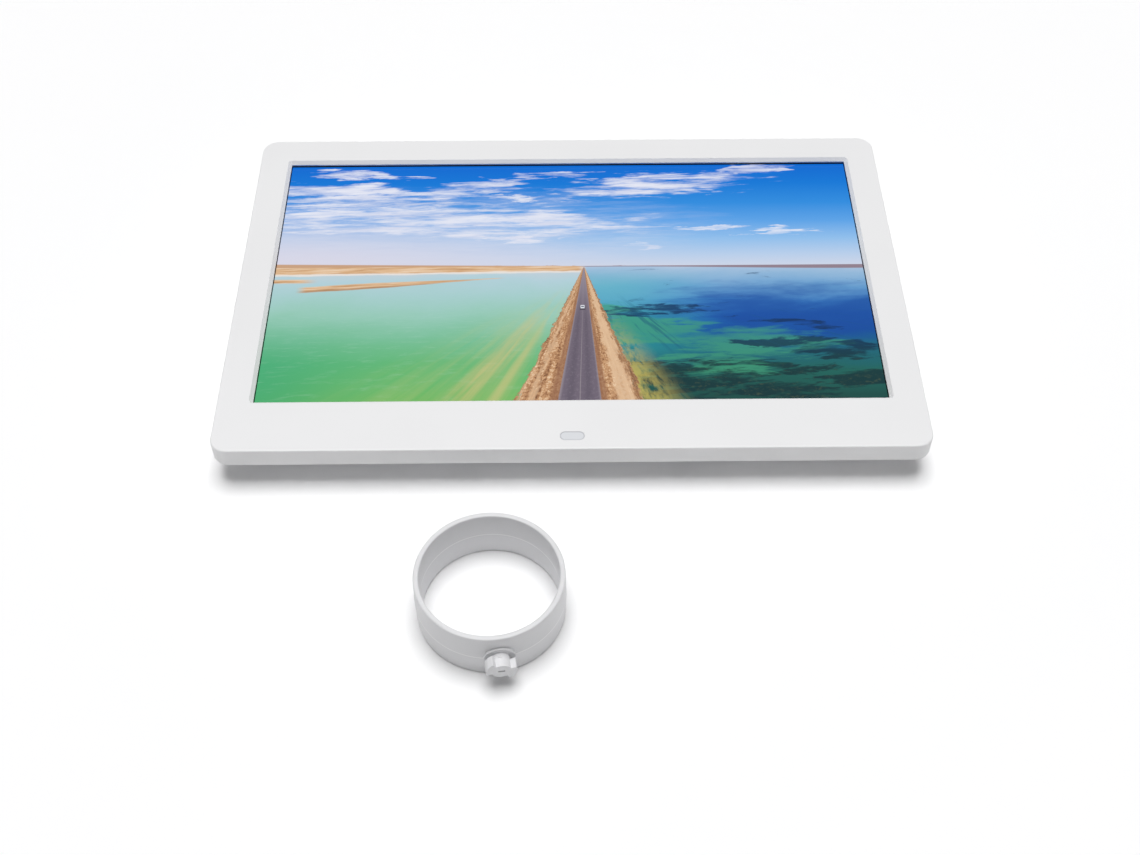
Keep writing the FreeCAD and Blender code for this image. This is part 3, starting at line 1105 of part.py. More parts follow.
# ---------------------------------------------------------------- wires and fasteners
def wires():
    """Two-core wires from the main board's headers to the speakers, the sensor and the backlight."""
    radius = size("wire_radius")
    z = size("board_z - header_height / 2")
    edge_y = size("header_y - header_width / 2")
    speaker, sensor, light = (size(f"{name}_header_x") for name in ("speaker", "sensor", "light"))
    speaker_x, speaker_y = size("speaker_x"), size("speaker_y")
    reach = size("magnet_radius + 0.15")
    magnet_z = size("cover_wall + gasket_thick + speaker_height + magnet_height / 2")
    plug_y, plug_z = size("sensor_plug_y + plug_width_y / 2"), size("sensor_board_z - plug_height_z / 2")
    lamp_y = size("light_plug_y + plug_width_y / 2")
    lamp_z = size("panel_back_z - driver_gap - driver_thick - plug_height_z / 2")
    left = [(speaker - 1.6, edge_y, z), (speaker - 1.6, edge_y - 6, z), (speaker - 8, edge_y - 11, z - 1.9),
            (speaker - 22, edge_y - 12, z - 2.6), (speaker - 38, edge_y - 8, z - 2.8),
            (speaker - 55, edge_y - 1, z - 2.2), (2, edge_y + 3, z - 1.2), (-20, edge_y + 1, z - 0.8),
            (-43, edge_y - 8, z - 1), (-64, edge_y - 16, magnet_z + 0.4),
            (-speaker_x + reach + 8, speaker_y, magnet_z), (-speaker_x + reach, speaker_y, magnet_z)]
    right = [(speaker + 1.6, edge_y, z), (speaker + 1.6, edge_y - 6, z),
             (speaker - 0.5, edge_y - 13, z - 0.9),
             (speaker_x - reach - 7, speaker_y, magnet_z), (speaker_x - reach, speaker_y, magnet_z)]
    eye = [(sensor, edge_y, z), (sensor, edge_y - 7, z), (sensor + 1.5, edge_y - 17, z + 1.2),
           (sensor - 3, edge_y - 30, z + 1.7), (sensor - 16, edge_y - 37, z + 2),
           (sensor - 33, edge_y - 37, z + 2.4), (sensor - 48, edge_y - 34, z + 2.9),
           (0, plug_y + 5, plug_z), (0, plug_y, plug_z)]
    lamp = [(light, edge_y, z), (light, edge_y - 5, z), (light + 4, edge_y - 11, z + 1.6),
            (light + 12, edge_y - 12, z + 2.9), (light + 18, lamp_y + 5.5, lamp_z),
            (light + 18, lamp_y, lamp_z)]
    wired = [tube(name, points, radius) for name, points in (("wire_left", left), ("wire_right", right))]
    node(group("speaker_wires", wired), "speaker_wires")
    node(tube("sensor_wire", eye, radius), "sensor_wire")
    node(tube("backlight_wire", lamp, radius), "backlight_wire")


def strip_along(name, points, width, thick, across):
    """A flat strip of even thickness along points in one plane; across is the direction of its width."""
    route = [FreeCAD.Vector(*p) for p in points]
    normal = FreeCAD.Vector(*across)
    sides = []
    for side in (1, -1):
        line = []
        for before, here, after in zip([None] + route[:-1], route, route[1:] + [None]):
            ways = [way.normalize() for way in (before and here - before, after and after - here) if way]
            turned = [way.cross(normal) for way in ways]
            mean = (turned[0] + turned[-1]).normalize()
            line.append(here + mean * (side * thick / 2 / mean.dot(turned[0])))
        sides.append(line)
    loop = sides[0] + sides[1][::-1]
    obj = doc.addObject("Part::Feature", name)
    obj.Shape = Part.Face(Part.makePolygon(loop + [loop[0]])).extrude(normal * width)
    obj.Placement = FreeCAD.Placement(normal * (-width / 2), FreeCAD.Rotation())
    return obj


def flat_cables():
    """The display harness and the keys' flat cable, each bent in one plane."""
    x, thick = size("display_header_x"), size("harness_thick")
    start_y, z = size("header_y - header_width / 2"), size("board_z - header_height / 2")
    end_y = size("driver_y")
    end_z = size("panel_back_z - driver_gap - driver_thick - driver_chip_thick") - thick / 2
    route = [(x, start_y, z), (x, start_y - 5, z), (x, start_y - 10, z + 0.7), (x, end_y + 9, end_z - 0.7),
             (x, end_y + 4, end_z), (x, end_y - 2, end_z)]
    node(strip_along("display_harness", route, size("harness_width"), thick, (1, 0, 0)), "display_harness")
    y, thick = size("key_header_y"), size("ribbon_thick")
    board_end = size("key_centre_x + key_board_length / 2")
    board_z = size("switch_z + switch_height") - thick / 2
    header_x, header_z = size("key_header_x - header_width / 2"), size("board_z - key_header_height / 2")
    route = [(board_end - 4, y, board_z), (board_end, y, board_z), (board_end + 5, y, board_z - 0.7),
             (header_x - 9, y, board_z - 0.7), (header_x - 4, y, header_z), (header_x, y, header_z)]
    node(strip_along("key_ribbon", route, size("ribbon_width"), thick, (0, 1, 0)), "key_ribbon")


def fasteners():
    """Cover screws, and the shorter screws inside, all with 2 mm threads."""
    cover = screws("cover_screw", [(x, y, "head_seat_z") for x, y in COVER_SCREWS], "cover_screw_length")
    node(group("cover_screws", cover), "cover_screws")
    up = [(x, y, "panel_back_z - clamp_thick") for x, y in CLAMP_SCREWS]
    up += [(x, y, "sensor_board_z") for x, y in SENSOR_SCREWS]
    down = [(x, y, "board_z + board_thick") for x, y in BOARD_SCREWS]
    down += [(x, y, "switch_z + switch_height + key_board_thick") for x, y in KEY_SCREWS]
    down += [(x, y, "socket_ear_z + socket_ear_thick") for x, y in SOCKET_SCREWS]
    inner = screws("panel_screw", up, "short_screw_length")
    inner += screws("board_screw", down, "short_screw_length", down=True)
    node(group("inner_screws", inner), "inner_screws")


# ---------------------------------------------------------------- build, check and write
front_bezel()
sensor_window()
rear_cover()
panel()
driver_board()
panel_clamps()
main_board()
ports()
keys()
speakers()
remote_sensor()
stand_socket()
ring_stand()
wires()
flat_cables()
fasteners()
doc.recompute()

bad = [o.Name for o in doc.Objects if any(word in o.State for word in ("Invalid", "Error"))]
if bad:
    raise RuntimeError(f"objects failed: {bad}")
os.makedirs("parts", exist_ok=True)
for obj in nodes:
    shape = obj.Shape
    if shape.isNull() or not shape.isValid() or not shape.Solids:
        raise RuntimeError(f"{obj.Label} has no valid solid")
for obj in nodes:
    obj.Shape.exportStep(f"parts/{obj.Label}.step")
print(len(nodes), "sub-parts")
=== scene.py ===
import json
import math

import bmesh
import bpy
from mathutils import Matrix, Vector


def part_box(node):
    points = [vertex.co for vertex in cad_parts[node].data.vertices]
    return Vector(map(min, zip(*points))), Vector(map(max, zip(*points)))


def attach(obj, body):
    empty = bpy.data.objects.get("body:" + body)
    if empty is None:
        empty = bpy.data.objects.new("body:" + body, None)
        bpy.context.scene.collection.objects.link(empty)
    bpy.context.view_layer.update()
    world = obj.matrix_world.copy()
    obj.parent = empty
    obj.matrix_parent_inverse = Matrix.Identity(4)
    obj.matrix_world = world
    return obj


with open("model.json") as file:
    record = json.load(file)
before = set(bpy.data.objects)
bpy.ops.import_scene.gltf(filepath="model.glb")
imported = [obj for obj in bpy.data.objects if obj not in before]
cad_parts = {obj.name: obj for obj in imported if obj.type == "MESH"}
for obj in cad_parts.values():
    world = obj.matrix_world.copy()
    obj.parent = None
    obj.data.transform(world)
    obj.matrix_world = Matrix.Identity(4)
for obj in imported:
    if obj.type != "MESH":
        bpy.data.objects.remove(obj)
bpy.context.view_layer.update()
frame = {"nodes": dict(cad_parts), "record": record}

MM = 1000.0     # millimetres in a metre: the formulas of the materials count in millimetres

scene = bpy.context.scene
scene.view_settings.view_transform = "Standard"
scene.view_settings.look = "None"


# ------------------------------------------------------------------ node trees written as formulas
def math_node(operation):
    """A method that joins two values with one math node."""
    def method(first, second):
        node = first.tree.nodes.new("ShaderNodeMath")
        node.operation = operation
        feed(first.tree, node.inputs[0], first)
        feed(first.tree, node.inputs[1], second)
        return Value(first.tree, node.outputs[0])
    return method


class Value:
    """A number or colour inside one node tree, with arithmetic."""

    __add__ = __radd__ = math_node("ADD")
    __mul__ = __rmul__ = math_node("MULTIPLY")
    __sub__ = math_node("SUBTRACT")
    __truediv__ = math_node("DIVIDE")
    __pow__ = math_node("POWER")
    least = math_node("MINIMUM")
    most = math_node("MAXIMUM")

    def __init__(self, tree, socket):
        self.tree, self.socket = tree, socket

    def __neg__(self):
        return self * -1.0

    def __rsub__(self, other):
        return -self + other

    def __rtruediv__(self, other):
        return self ** -1.0 * other

    def __abs__(self):
        return self.most(-self)

    def rises(self, low, high):
        """0 below low, 1 above high, smooth between; low may be above high."""
        node = self.tree.nodes.new("ShaderNodeMapRange")
        node.interpolation_type = "SMOOTHSTEP"
        flip = low > high
        feed(self.tree, node.inputs["Value"], self)
        node.inputs["From Min"].default_value = min(low, high)
        node.inputs["From Max"].default_value = max(low, high)
        node.inputs["To Min"].default_value = 1.0 if flip else 0.0
        node.inputs["To Max"].default_value = 0.0 if flip else 1.0
        return Value(self.tree, node.outputs["Result"])

    def between(self, low, high, soft):
        """1 from low to high, 0 outside, with soft edges."""
        return self.rises(low - soft, low + soft) * self.rises(high + soft, high - soft)

    def ramp(self, *stops):
        """A colour gradient through (position, sRGB colour) stops."""
        node = self.tree.nodes.new("ShaderNodeValToRGB")
        ramp = node.color_ramp
        while len(ramp.elements) < len(stops):
            ramp.elements.new(1.0)
        for element, (position, colour) in zip(ramp.elements, stops):
            element.position, element.color = position, srgb(colour)
        feed(self.tree, node.inputs["Fac"], self)
        return Value(self.tree, node.outputs["Color"])

    def mix(self, other, amount, blend="MIX"):
        """This colour turned towards another by amount."""
        node = self.tree.nodes.new("ShaderNodeMix")
        node.data_type, node.blend_type = "RGBA", blend
        feed(self.tree, node.inputs["Factor"], amount)
        feed(self.tree, node.inputs[6], self)
        feed(self.tree, node.inputs[7], other)
        return Value(self.tree, node.outputs[2])


def srgb(colour):
    """An 8-bit sRGB colour as linear RGBA."""
    channel = [c / 255 for c in colour]
    return (*[c / 12.92 if c <= 0.04045 else ((c + 0.055) / 1.055) ** 2.4 for c in channel], 1.0)


def feed(tree, socket, item):
    """Link a value to a socket, or set the socket to a plain number or an sRGB colour."""
    if isinstance(item, Value):
        tree.links.new(item.socket, socket)
    elif isinstance(item, (tuple, list)):
        socket.default_value = srgb(item) if socket.type == "RGBA" else item
    else:
        socket.default_value = item


class Material:
    """A material with one Principled shader, and the coordinates its formulas use."""

    def __init__(self, name, **values):
        self.data = bpy.data.materials.new(name)
        self.data.use_nodes = True
        self.tree = self.data.node_tree
        self.shader = self.tree.nodes["Principled BSDF"]
        self.set(**values)

    def set(self, **values):
        """Feed the shader's sockets; a name's underscores stand for spaces."""
        for name, item in values.items():
            feed(self.tree, self.shader.inputs[name.replace("_", " ")], item)
        return self

    def colour(self, rgb):
        """An even colour that others can be mixed into."""
        node = self.tree.nodes.new("ShaderNodeRGB")
        node.outputs[0].default_value = srgb(rgb)
        return Value(self.tree, node.outputs[0])

    def place(self):
        """X, Y and Z in millimetres, in the frame that the whole model shares."""
        coordinates = self.tree.nodes.new("ShaderNodeTexCoord")
        split = self.tree.nodes.new("ShaderNodeSeparateXYZ")
        self.tree.links.new(coordinates.outputs["Object"], split.inputs[0])
        return [Value(self.tree, socket) * MM for socket in split.outputs]

    def point(self, x, y, z=0.0):
        """A place for a texture to be read at."""
        node = self.tree.nodes.new("ShaderNodeCombineXYZ")
        for socket, item in zip(node.inputs, (x, y, z)):
            feed(self.tree, socket, item)
        return Value(self.tree, node.outputs[0])

    def noise(self, where, scale=1.0, detail=4.0, rough=0.55, warp=0.0):
        """Soft noise around 0.5; scale is its features per unit of where."""
        node = self.tree.nodes.new("ShaderNodeTexNoise")
        feed(self.tree, node.inputs["Vector"], where)
        node.inputs["Scale"].default_value = scale
        node.inputs["Detail"].default_value = detail
        node.inputs["Roughness"].default_value = rough
        node.inputs["Distortion"].default_value = warp
        return Value(self.tree, node.outputs[0])

    def cells(self, where, scale=1.0, feature="F1", random=1.0):
        """How far each point is from the middle of its cell, or from the cell's edge."""
        node = self.tree.nodes.new("ShaderNodeTexVoronoi")
        node.feature = feature
        feed(self.tree, node.inputs["Vector"], where)
        node.inputs["Scale"].default_value = scale
        node.inputs["Randomness"].default_value = random
        return Value(self.tree, node.outputs["Distance"])

    def bump(self, height, distance, strength=1.0):
        node = self.tree.nodes.new("ShaderNodeBump")
        feed(self.tree, node.inputs["Height"], height)
        node.inputs["Distance"].default_value = distance
        node.inputs["Strength"].default_value = strength
        self.tree.links.new(node.outputs[0], self.shader.inputs["Normal"])
        return self


# ------------------------------------------------------------------ materials
def moulded(name, rgb, rough, grain, depth, spread=2.0, seam=None, **values):
    """Injection-moulded plastic: even colour with faint flow clouds, and a fine grain in its surface.

    seam, if it has one, is a formula for the parting line of its mould; it raises the surface, and along it
    the colour is painted paler, a painted highlight on its ridge.
    """
    m = Material(name, **values)
    x, y, z = m.place()
    here = m.point(x, y, z)
    cloud = m.noise(here, 0.018, 3.0, 0.5)
    fine = m.noise(here, grain, 3.0, 0.6)
    darker = tuple(max(0, c - spread) for c in rgb)
    base = m.colour(rgb).mix(darker, cloud.rises(0.35, 0.7))
    height = fine
    if seam:
        line = seam(x, y, z)
        # Along the parting line the colour is turned towards white: a painted highlight on the seam's
        # ridge.
        seam_highlight_strength, line_height = 0.8, 4.0
        base = base.mix((255, 255, 255), line * seam_highlight_strength)
        height = fine + line * line_height
    m.set(Base_Color=base, Roughness=fine * 0.10 + (rough - 0.05) + (cloud - 0.5) * 0.06)
    return m.bump(height, depth, 0.6)


def ring_seam(x, y, z):
    """The parting line round the middle of the ring stand, inside and outside."""
    low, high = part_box("stand_ring")
    middle = (low + high) / 2 * MM
    radius = (high.x - low.x) / 2 * MM
    below_middle, half_width, softness, skin = 0.6, 0.2, 0.1, 0.4
    across, along = x - middle.x, y - middle.y
    on_ring = (across * across + along * along).rises((radius + skin) ** 2, radius ** 2)
    off_line = abs(z - middle.z + below_middle)
    return off_line.rises(half_width + softness, half_width - softness) * on_ring


def window_material():
    """The remote-control sensor's window: a pale lens whose rim falls to a darker line, painted shade along
    its rounded edge.
    """
    m = Material("sensor_window", Specular_IOR_Level=0.5)
    low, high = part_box("sensor_window")
    x, y, z = m.place()
    middle = (low + high) / 2 * MM
    half_width, radius = 4.8, 2.05
    across, along = x - middle.x, y - middle.y
    beyond = (abs(across) - (half_width - radius)).most(0.0)
    away = (beyond * beyond + along * along) ** 0.5
    rim = away.rises(radius - 0.55, radius - 0.10)
    bulge = m.noise(m.point(x, y, z), 0.6, 2.0, 0.5)
    # The darker rim colour is painted shade along the lens's rounded edge; the same mask bumps the edge
    # down.
    m.set(Base_Color=m.colour((221, 223, 227)).mix((201, 203, 208), rim), Roughness=bulge * 0.08 + 0.16)
    return m.bump(rim, 0.00003, 0.6)


class Landscape:
    """The picture on the display: a road on a low causeway between two shallow lakes, under streaky clouds.

    x and y are millimetres on the display. Below the horizon the ground is laid out in perspective: side
    counts camera heights across the road, and far counts them along it.
    """

    # On the display: the horizon's height, where the road meets it, how far the sky and the ground
    # reach from it, and the focal length that the ground is drawn with.
    horizon, apex = 11.2, 6.2
    sky_height, ground_height, focal = 67.0, 76.0, 150.0

    # Across the road, in camera heights: the edges of its banks and its asphalt, and its painted line.
    bank_edges, asphalt_edges, painted_line = (-0.379, 0.307), (-0.153, 0.076), -0.037

    # Patches: middle x, middle y, half width, half height, slope.
    clouds = (
        (-98, 71.6, 30, 3.6, -0.07),
        (-110, 61.5, 42, 5.0, 0.0),
        (-96, 53.5, 66, 6.5, 0.05),
        (-62, 41.0, 112, 13.5, -0.02),
        (-40, 62.5, 36, 6.0, 0.16),
        (-29, 55.8, 17, 2.6, 0.0),
        (38, 63.5, 60, 9.5, 0.09),
        (-8, 71.2, 18, 3.4, 0.02),
        (86, 74.2, 16, 3.2, 0.12),
        (-18, 28.0, 26, 2.4, -0.03),
        (34, 23.0, 12, 2.4, 0.10),
        (64, 35.5, 14, 1.8, 0.02),
        (95, 32.4, 15, 3.0, 0.03),
    )
    shallows = (
        (34, -28, 30, 10, -0.05),
        (78, -34, 42, 9, -0.02),
        (62, -46, 26, 8, -0.10),
        (20, -20, 16, 10, -0.3),
    )
    weed_beds = (
        (44, -57, 24, 13, -0.42),
        (70, -58, 26, 12, -0.36),
        (98, -64, 30, 9, -0.12),
        (110, -38, 32, 7.5, -0.08),
        (122, -54, 26, 7, -0.10),
        (80, -35, 14, 2.4, -0.02),
        (84, -48, 20, 4.0, -0.10),
        (28, -17, 16, 3.4, -0.05),
        (50, -15, 24, 2.8, -0.04),
        (96, -24, 30, 2.6, -0.05),
    )

    def __init__(self, m):
        self.m = m
        self.x, self.y, _ = m.place()
        self.u = self.x - self.apex
        self.up = (self.y - self.horizon).most(0.0)
        self.down = (self.horizon - self.y).most(0.05)
        self.depth = self.down / self.ground_height
        self.side = self.u / self.down
        self.far = self.focal / self.down

    def streaks(self, across, along, seed, detail=6.0, rough=0.6, lean=0.0, warp=0.3):
        """Noise drawn out sideways on the display; across and along are its features per millimetre."""
        m, x, y = self.m, self.x, self.y
        where = m.point(x * across + y * lean, (y - x * 0.03) * along, seed)
        return m.noise(where, 1.0, detail, rough, warp)

    def ground(self, across, along, seed, detail=6.0, rough=0.6, warp=0.2):
        """Noise lying on the ground; across and along are its features per camera height."""
        m = self.m
        return m.noise(m.point(self.side * across, self.far * along, seed), 1.0, detail, rough, warp)

    def patches(self, *places, shift=12.0):
        """1 inside slanted ellipses with torn rims, 0 outside them."""
        x = self.x + (self.streaks(0.045, 0.30, 41.0, 5.0, 0.6) - 0.5) * 7.0 * shift
        y = self.y + (self.streaks(0.040, 0.20, 47.0, 5.0, 0.6) - 0.5) * 1.3 * shift
        whole = None
        for middle_x, middle_y, wide, high, slope in places:
            across = (x - middle_x) / wide
            along = (y - middle_y - (x - middle_x) * slope) / high
            one = (across * across + along * along).rises(1.25, 0.15)
            whole = one if whole is None else whole.most(one)
        return whole

    def sky(self):
        """Blue that deepens upwards, haze low on the left, and clouds drawn out sideways."""
        high = self.up / self.sky_height
        sky = high.ramp(
            (0.0, (204, 213, 231)),
            (0.10, (184, 206, 234)),
            (0.25, (144, 190, 235)),
            (0.42, (92, 162, 230)),
            (0.60, (48, 140, 222)),
            (0.80, (16, 120, 214)),
            (1.0, (4, 103, 208)),
        )
        leftward = (-self.x).rises(-70.0, 125.0)
        sky = sky.mix((219, 215, 229), leftward * high.rises(0.62, 0.05) * 0.85)
        cover = self.patches(*self.clouds)
        broad = self.streaks(0.016, 0.15, 3.1, 6.0, 0.60, 0.012)
        fine = self.streaks(0.052, 0.46, 7.7, 7.0, 0.66, 0.05)
        density = (broad * 0.50 + fine * 0.50 - 0.5) * 9.5 + cover * 1.9 - 1.15
        shade = self.streaks(0.03, 0.25, 11.0)
        cloud = self.m.colour((236, 237, 246)).mix((203, 208, 232), shade.rises(0.42, 0.66) * 0.7)
        sky = sky.mix(cloud, density.rises(-0.35, 1.7) * cover.rises(0.0, 0.30) * 0.94)
        veil = self.patches((-60, 36, 130, 26, 0.0))
        return sky.mix((214, 219, 236), veil * (fine + 0.1).rises(0.35, 0.8) * 0.35)

    def green_lake(self):
        """Pale at the horizon and green in front, with sunlit bars beside the bank."""
        swell = self.streaks(0.020, 0.050, 5.0)
        lake = (self.depth + (swell - 0.5) * 0.20).ramp(
            (0.0, (196, 206, 216)),
            (0.10, (178, 207, 217)),
            (0.22, (166, 205, 205)),
            (0.38, (150, 201, 184)),
            (0.55, (120, 190, 152)),
            (0.74, (96, 182, 120)),
            (1.0, (104, 182, 98)),
        )
        corner = (-self.x).rises(70.0, 135.0) * self.depth.rises(0.3, 0.9)
        lake = lake.mix((44, 164, 122), corner * 0.60)
        ripple = self.ground(5.0, 9.0, 2.0, 7.0, 0.65)
        lake = lake.mix((190, 222, 208), (ripple - 0.5).rises(0.0, 0.25) * 0.16)
        fan = self.ground(9.0, 0.35, 9.0, 4.0, 0.55, 0.15)
        bars = self.side.between(-0.76, -0.60, 0.07).most(self.side.between(-0.52, -0.47, 0.035) * 0.8)
        bars = bars * (fan + 0.1).rises(0.40, 0.72) * self.depth.rises(0.12, 0.8)
        lake = lake.mix((222, 190, 132), bars * 0.62)
        haze = self.side.rises(-1.7, -0.40) * self.depth.rises(0.10, 0.6) * fan.rises(0.25, 0.75)
        return lake.mix((186, 196, 130), haze * 0.55)

    def blue_lake(self):
        """Deep blue beyond shallows and weed beds, with a fringe of plants beside the bank."""
        swell = self.streaks(0.018, 0.060, 8.0)
        lake = (self.depth + (swell - 0.5) * 0.16).ramp(
            (0.0, (176, 197, 222)),
            (0.07, (146, 183, 216)),
            (0.17, (104, 160, 208)),
            (0.28, (60, 128, 196)),
            (0.40, (30, 98, 178)),
            (0.52, (22, 84, 158)),
            (0.64, (30, 102, 128)),
            (0.80, (34, 100, 92)),
            (1.0, (30, 78, 72)),
        )
        near = self.x.rises(72.0, 16.0)
        lake = lake.mix((100, 186, 196), near * self.depth.between(0.08, 0.40, 0.10) * 0.62)
        lake = lake.mix((44, 150, 150), near * self.depth.between(0.34, 0.70, 0.08) * 0.75)
        turquoise = self.streaks(0.030, 0.14, 14.0, 6.0, 0.6, 0.02)
        pale = (turquoise - 0.5) * 2.4 + self.patches(*self.shallows) * 1.1
        lake = lake.mix((66, 156, 120), pale.rises(0.30, 1.25) * 0.70)
        deep = self.patches((104, -16, 66, 17, -0.04)) * (swell + 0.25).rises(0.4, 0.8)
        lake = lake.mix((24, 72, 156), deep * 0.72)
        drift = self.streaks(0.034, 0.16, 12.0, 8.0, 0.66, -0.02, 0.6)
        weeds = ((drift - 0.5) * 7.0 + self.patches(*self.weed_beds) * 1.6 - 0.85).rises(-0.1, 0.9)
        tuft = self.m.noise(self.m.point(self.x * 0.30, self.y * 0.55, 4.0), 1.0, 6.0, 0.72)
        bed = self.m.colour((18, 50, 92)).mix((20, 50, 56), self.depth.rises(0.45, 0.8))
        bed = bed.mix((88, 96, 70), tuft.rises(0.50, 0.72) * self.depth.rises(0.6, 0.95) * 0.65)
        lake = lake.mix(bed, weeds * 0.86)
        wake = self.ground(16.0, 0.5, 3.0, 4.0, 0.5) + self.side.between(0.72, 0.92, 0.05) * 0.18
        wake = wake.rises(0.60, 0.72) * self.depth.between(0.32, 0.64, 0.12)
        lake = lake.mix((24, 84, 118), wake * 0.55)
        fringe = self.ground(14.0, 3.0, 31.0, 6.0, 0.65)
        edge = (self.side + (fringe - 0.5) * 0.22).rises(0.60, 0.34)
        edge = edge * self.depth.rises(0.30, 0.9) * fringe.rises(0.32, 0.60)
        return lake.mix((196, 182, 96), edge * 0.85)

    def sand(self):
        """Sand in streaks of three tones."""
        grain = self.streaks(0.05, 0.9, 1.0)
        return grain.ramp((0.30, (188, 140, 98)), (0.50, (220, 182, 142)), (0.68, (236, 212, 186)))

    def shores(self, water):
        """Sand flats along the left horizon with a spit before them, and a thin dark line on the right."""
        wander = self.streaks(0.06, 0.25, 16.0)
        leftward = -self.u
        left = leftward.rises(-1.5, 3.0)
        flats_end = leftward * 0.011 + 2.7 + (wander - 0.5) * 2.4
        water = water.mix((242, 230, 220), left * (self.down - flats_end - 1.0).rises(0.6, -0.4) * 0.75)
        spit_middle = leftward * 0.075 + 4.4 + (wander - 0.5) * 1.0
        spit_half = (leftward - 38.0).rises(0.0, 60.0) * 1.5 + 0.2
        spit = (abs(self.down - spit_middle) - spit_half).rises(0.4, -0.4)
        spit = spit * leftward.between(36.0, 122.0, 3.0)
        tongue = (abs(self.down - 8.4 - (wander - 0.5)) - 1.0).rises(0.6, -0.4)
        tongue = tongue * leftward.rises(114.0, 124.0)
        flats = left * (self.down - flats_end).rises(0.5, -0.4)
        water = water.mix(self.sand(), flats.most(spit).most(tongue))
        water = water.mix((150, 108, 78), spit * (self.down - spit_middle).rises(0.1, 1.3) * 0.7)
        rim = self.u.rises(10.0, 120.0) * 1.9 + 0.35
        return water.mix((142, 118, 128), (1.0 - left) * (self.down - rim).rises(0.35, -0.25) * 0.9)

    def causeway(self, water):
        """Rubble banks with wheel tracks, and the asphalt between them."""
        side = self.side
        ragged = self.ground(11.0, 2.0, 21.0, 7.0, 0.72)
        clods = self.ground(46.0, 20.0, 6.0, 8.0, 0.72, 0.4)
        ruts = self.ground(34.0, 1.1, 17.0, 5.0, 0.6, 0.1)
        torn = side + (ragged - 0.5) * 0.20
        bank = torn.between(*self.bank_edges, 0.007)
        rubble = (clods * 0.62 + ruts * 0.38).ramp(
            (0.36, (92, 62, 44)),
            (0.45, (160, 114, 80)),
            (0.53, (206, 160, 118)),
            (0.62, (240, 214, 182)),
        )
        track = torn.between(0.165, 0.262, 0.018).most(torn.between(-0.318, -0.285, 0.012) * 0.7)
        rubble = rubble.mix((228, 194, 158), track * (1.25 - clods).rises(0.55, 0.8) * 0.85)
        shoulder = side.rises(-0.215, -0.185) * side.rises(0.125, 0.10)
        rubble = rubble.mix((150, 106, 80), shoulder * 0.75)
        shadow = (torn.between(-0.392, -0.370, 0.010) + torn.between(0.272, 0.300, 0.012)).least(1.0)
        rubble = rubble.mix((74, 56, 44), shadow * clods.rises(0.46, 0.56) * 0.75)
        land = water.mix(rubble, bank * self.down.rises(0.3, 1.6))
        edge = side + (clods - 0.5) * 0.006
        worn = abs(abs(side + 0.040) - 0.050).rises(0.040, 0.0)
        asphalt = self.m.colour((112, 102, 116)).mix((92, 84, 98), worn * 0.55)
        asphalt = asphalt.mix((146, 136, 148), clods.rises(0.48, 0.66) * 0.28)
        dusty = edge.rises(-0.132, -0.152).most(edge.rises(0.060, 0.078))
        asphalt = asphalt.mix((176, 164, 170), dusty * 0.45)
        asphalt = asphalt.mix((158, 148, 160), self.depth.rises(0.45, 0.0) * 0.75)
        line = abs(side - self.painted_line).rises(0.004, 0.002)
        asphalt = asphalt.mix((184, 176, 178), line * self.depth.rises(0.1, 0.5) * 0.30)
        road = edge.between(*self.asphalt_edges, 0.003)
        return self.car(land.mix(asphalt, road * self.down.rises(0.2, 1.2)))

    def car(self, land):
        """A small pale car on the road: its shadow, its body and its rear window."""
        off = abs(self.u + 1.0)
        for colour, half_wide, middle, half_high, soft in (((80, 74, 84), 1.15, 25.6, 0.9, 0.25),
                                                           ((226, 229, 236), 0.85, 24.6, 0.95, 0.22),
                                                           ((78, 88, 104), 0.6, 24.5, 0.3, 0.12)):
            inside = (off - half_wide).rises(soft, -soft)
            inside = inside * (abs(self.down - middle) - half_high).rises(soft, -soft)
            land = land.mix(colour, inside)
        return land

    def picture(self):
        """The lakes and the causeway below the horizon, low hills along it, and the sky above."""
        water = self.blue_lake().mix(self.green_lake(), self.u.rises(0.5, -0.5))
        ground = self.causeway(self.shores(water))
        tilt = (-self.u).rises(-4.0, 8.0) * (-self.u) * 0.017
        wander = self.m.noise(self.m.point(self.x * 0.06, 0.0, 5.0), 1.0, 5.0, 0.6)
        hills = (wander - 0.5).most(0.0) * 5.0 * abs(self.x).rises(60.0, 5.0)
        skyline = self.up - tilt - hills + 0.2
        far_land = self.m.colour((200, 160, 128)).mix((150, 130, 140), self.u.rises(-2.0, 12.0))
        sky = self.sky().mix(far_land, skyline.rises(0.45, -0.25) * self.u.rises(60.0, 20.0))
        return sky.mix(ground, (self.y - self.horizon).rises(0.15, -0.15))


def picture_material():
    """A backlit display behind a matte film: the picture shines, and the surface scatters some light."""
    m = Material("display_picture", Specular_IOR_Level=0.2)
    m.set(Base_Color=(6, 7, 9), Emission_Color=Landscape(m).picture(), Emission_Strength=1.0)
    sparkle = m.noise(m.point(*m.place()), 9.0, 2.0, 0.5)
    m.set(Roughness=sparkle * 0.10 + 0.13)
    return m.bump(sparkle, 0.00001, 0.4)


def sheet_metal(name, rgb, rough):
    """Bare sheet metal, brushed one way, with faint stains."""
    m = Material(name, Metallic=1.0)
    x, y, z = m.place()
    brushed = m.noise(m.point(x * 0.15, y * 4.0, z * 4.0), 1.0, 5.0, 0.6)
    stain = m.noise(m.point(x, y, z), 0.12, 4.0, 0.6)
    m.set(Base_Color=m.colour(rgb).mix(tuple(int(c * 0.72) for c in rgb), stain.rises(0.45, 0.75) * 0.5))
    m.set(Roughness=brushed * 0.2 + (rough - 0.1))
    return m.bump(brushed, 0.00002, 0.4)


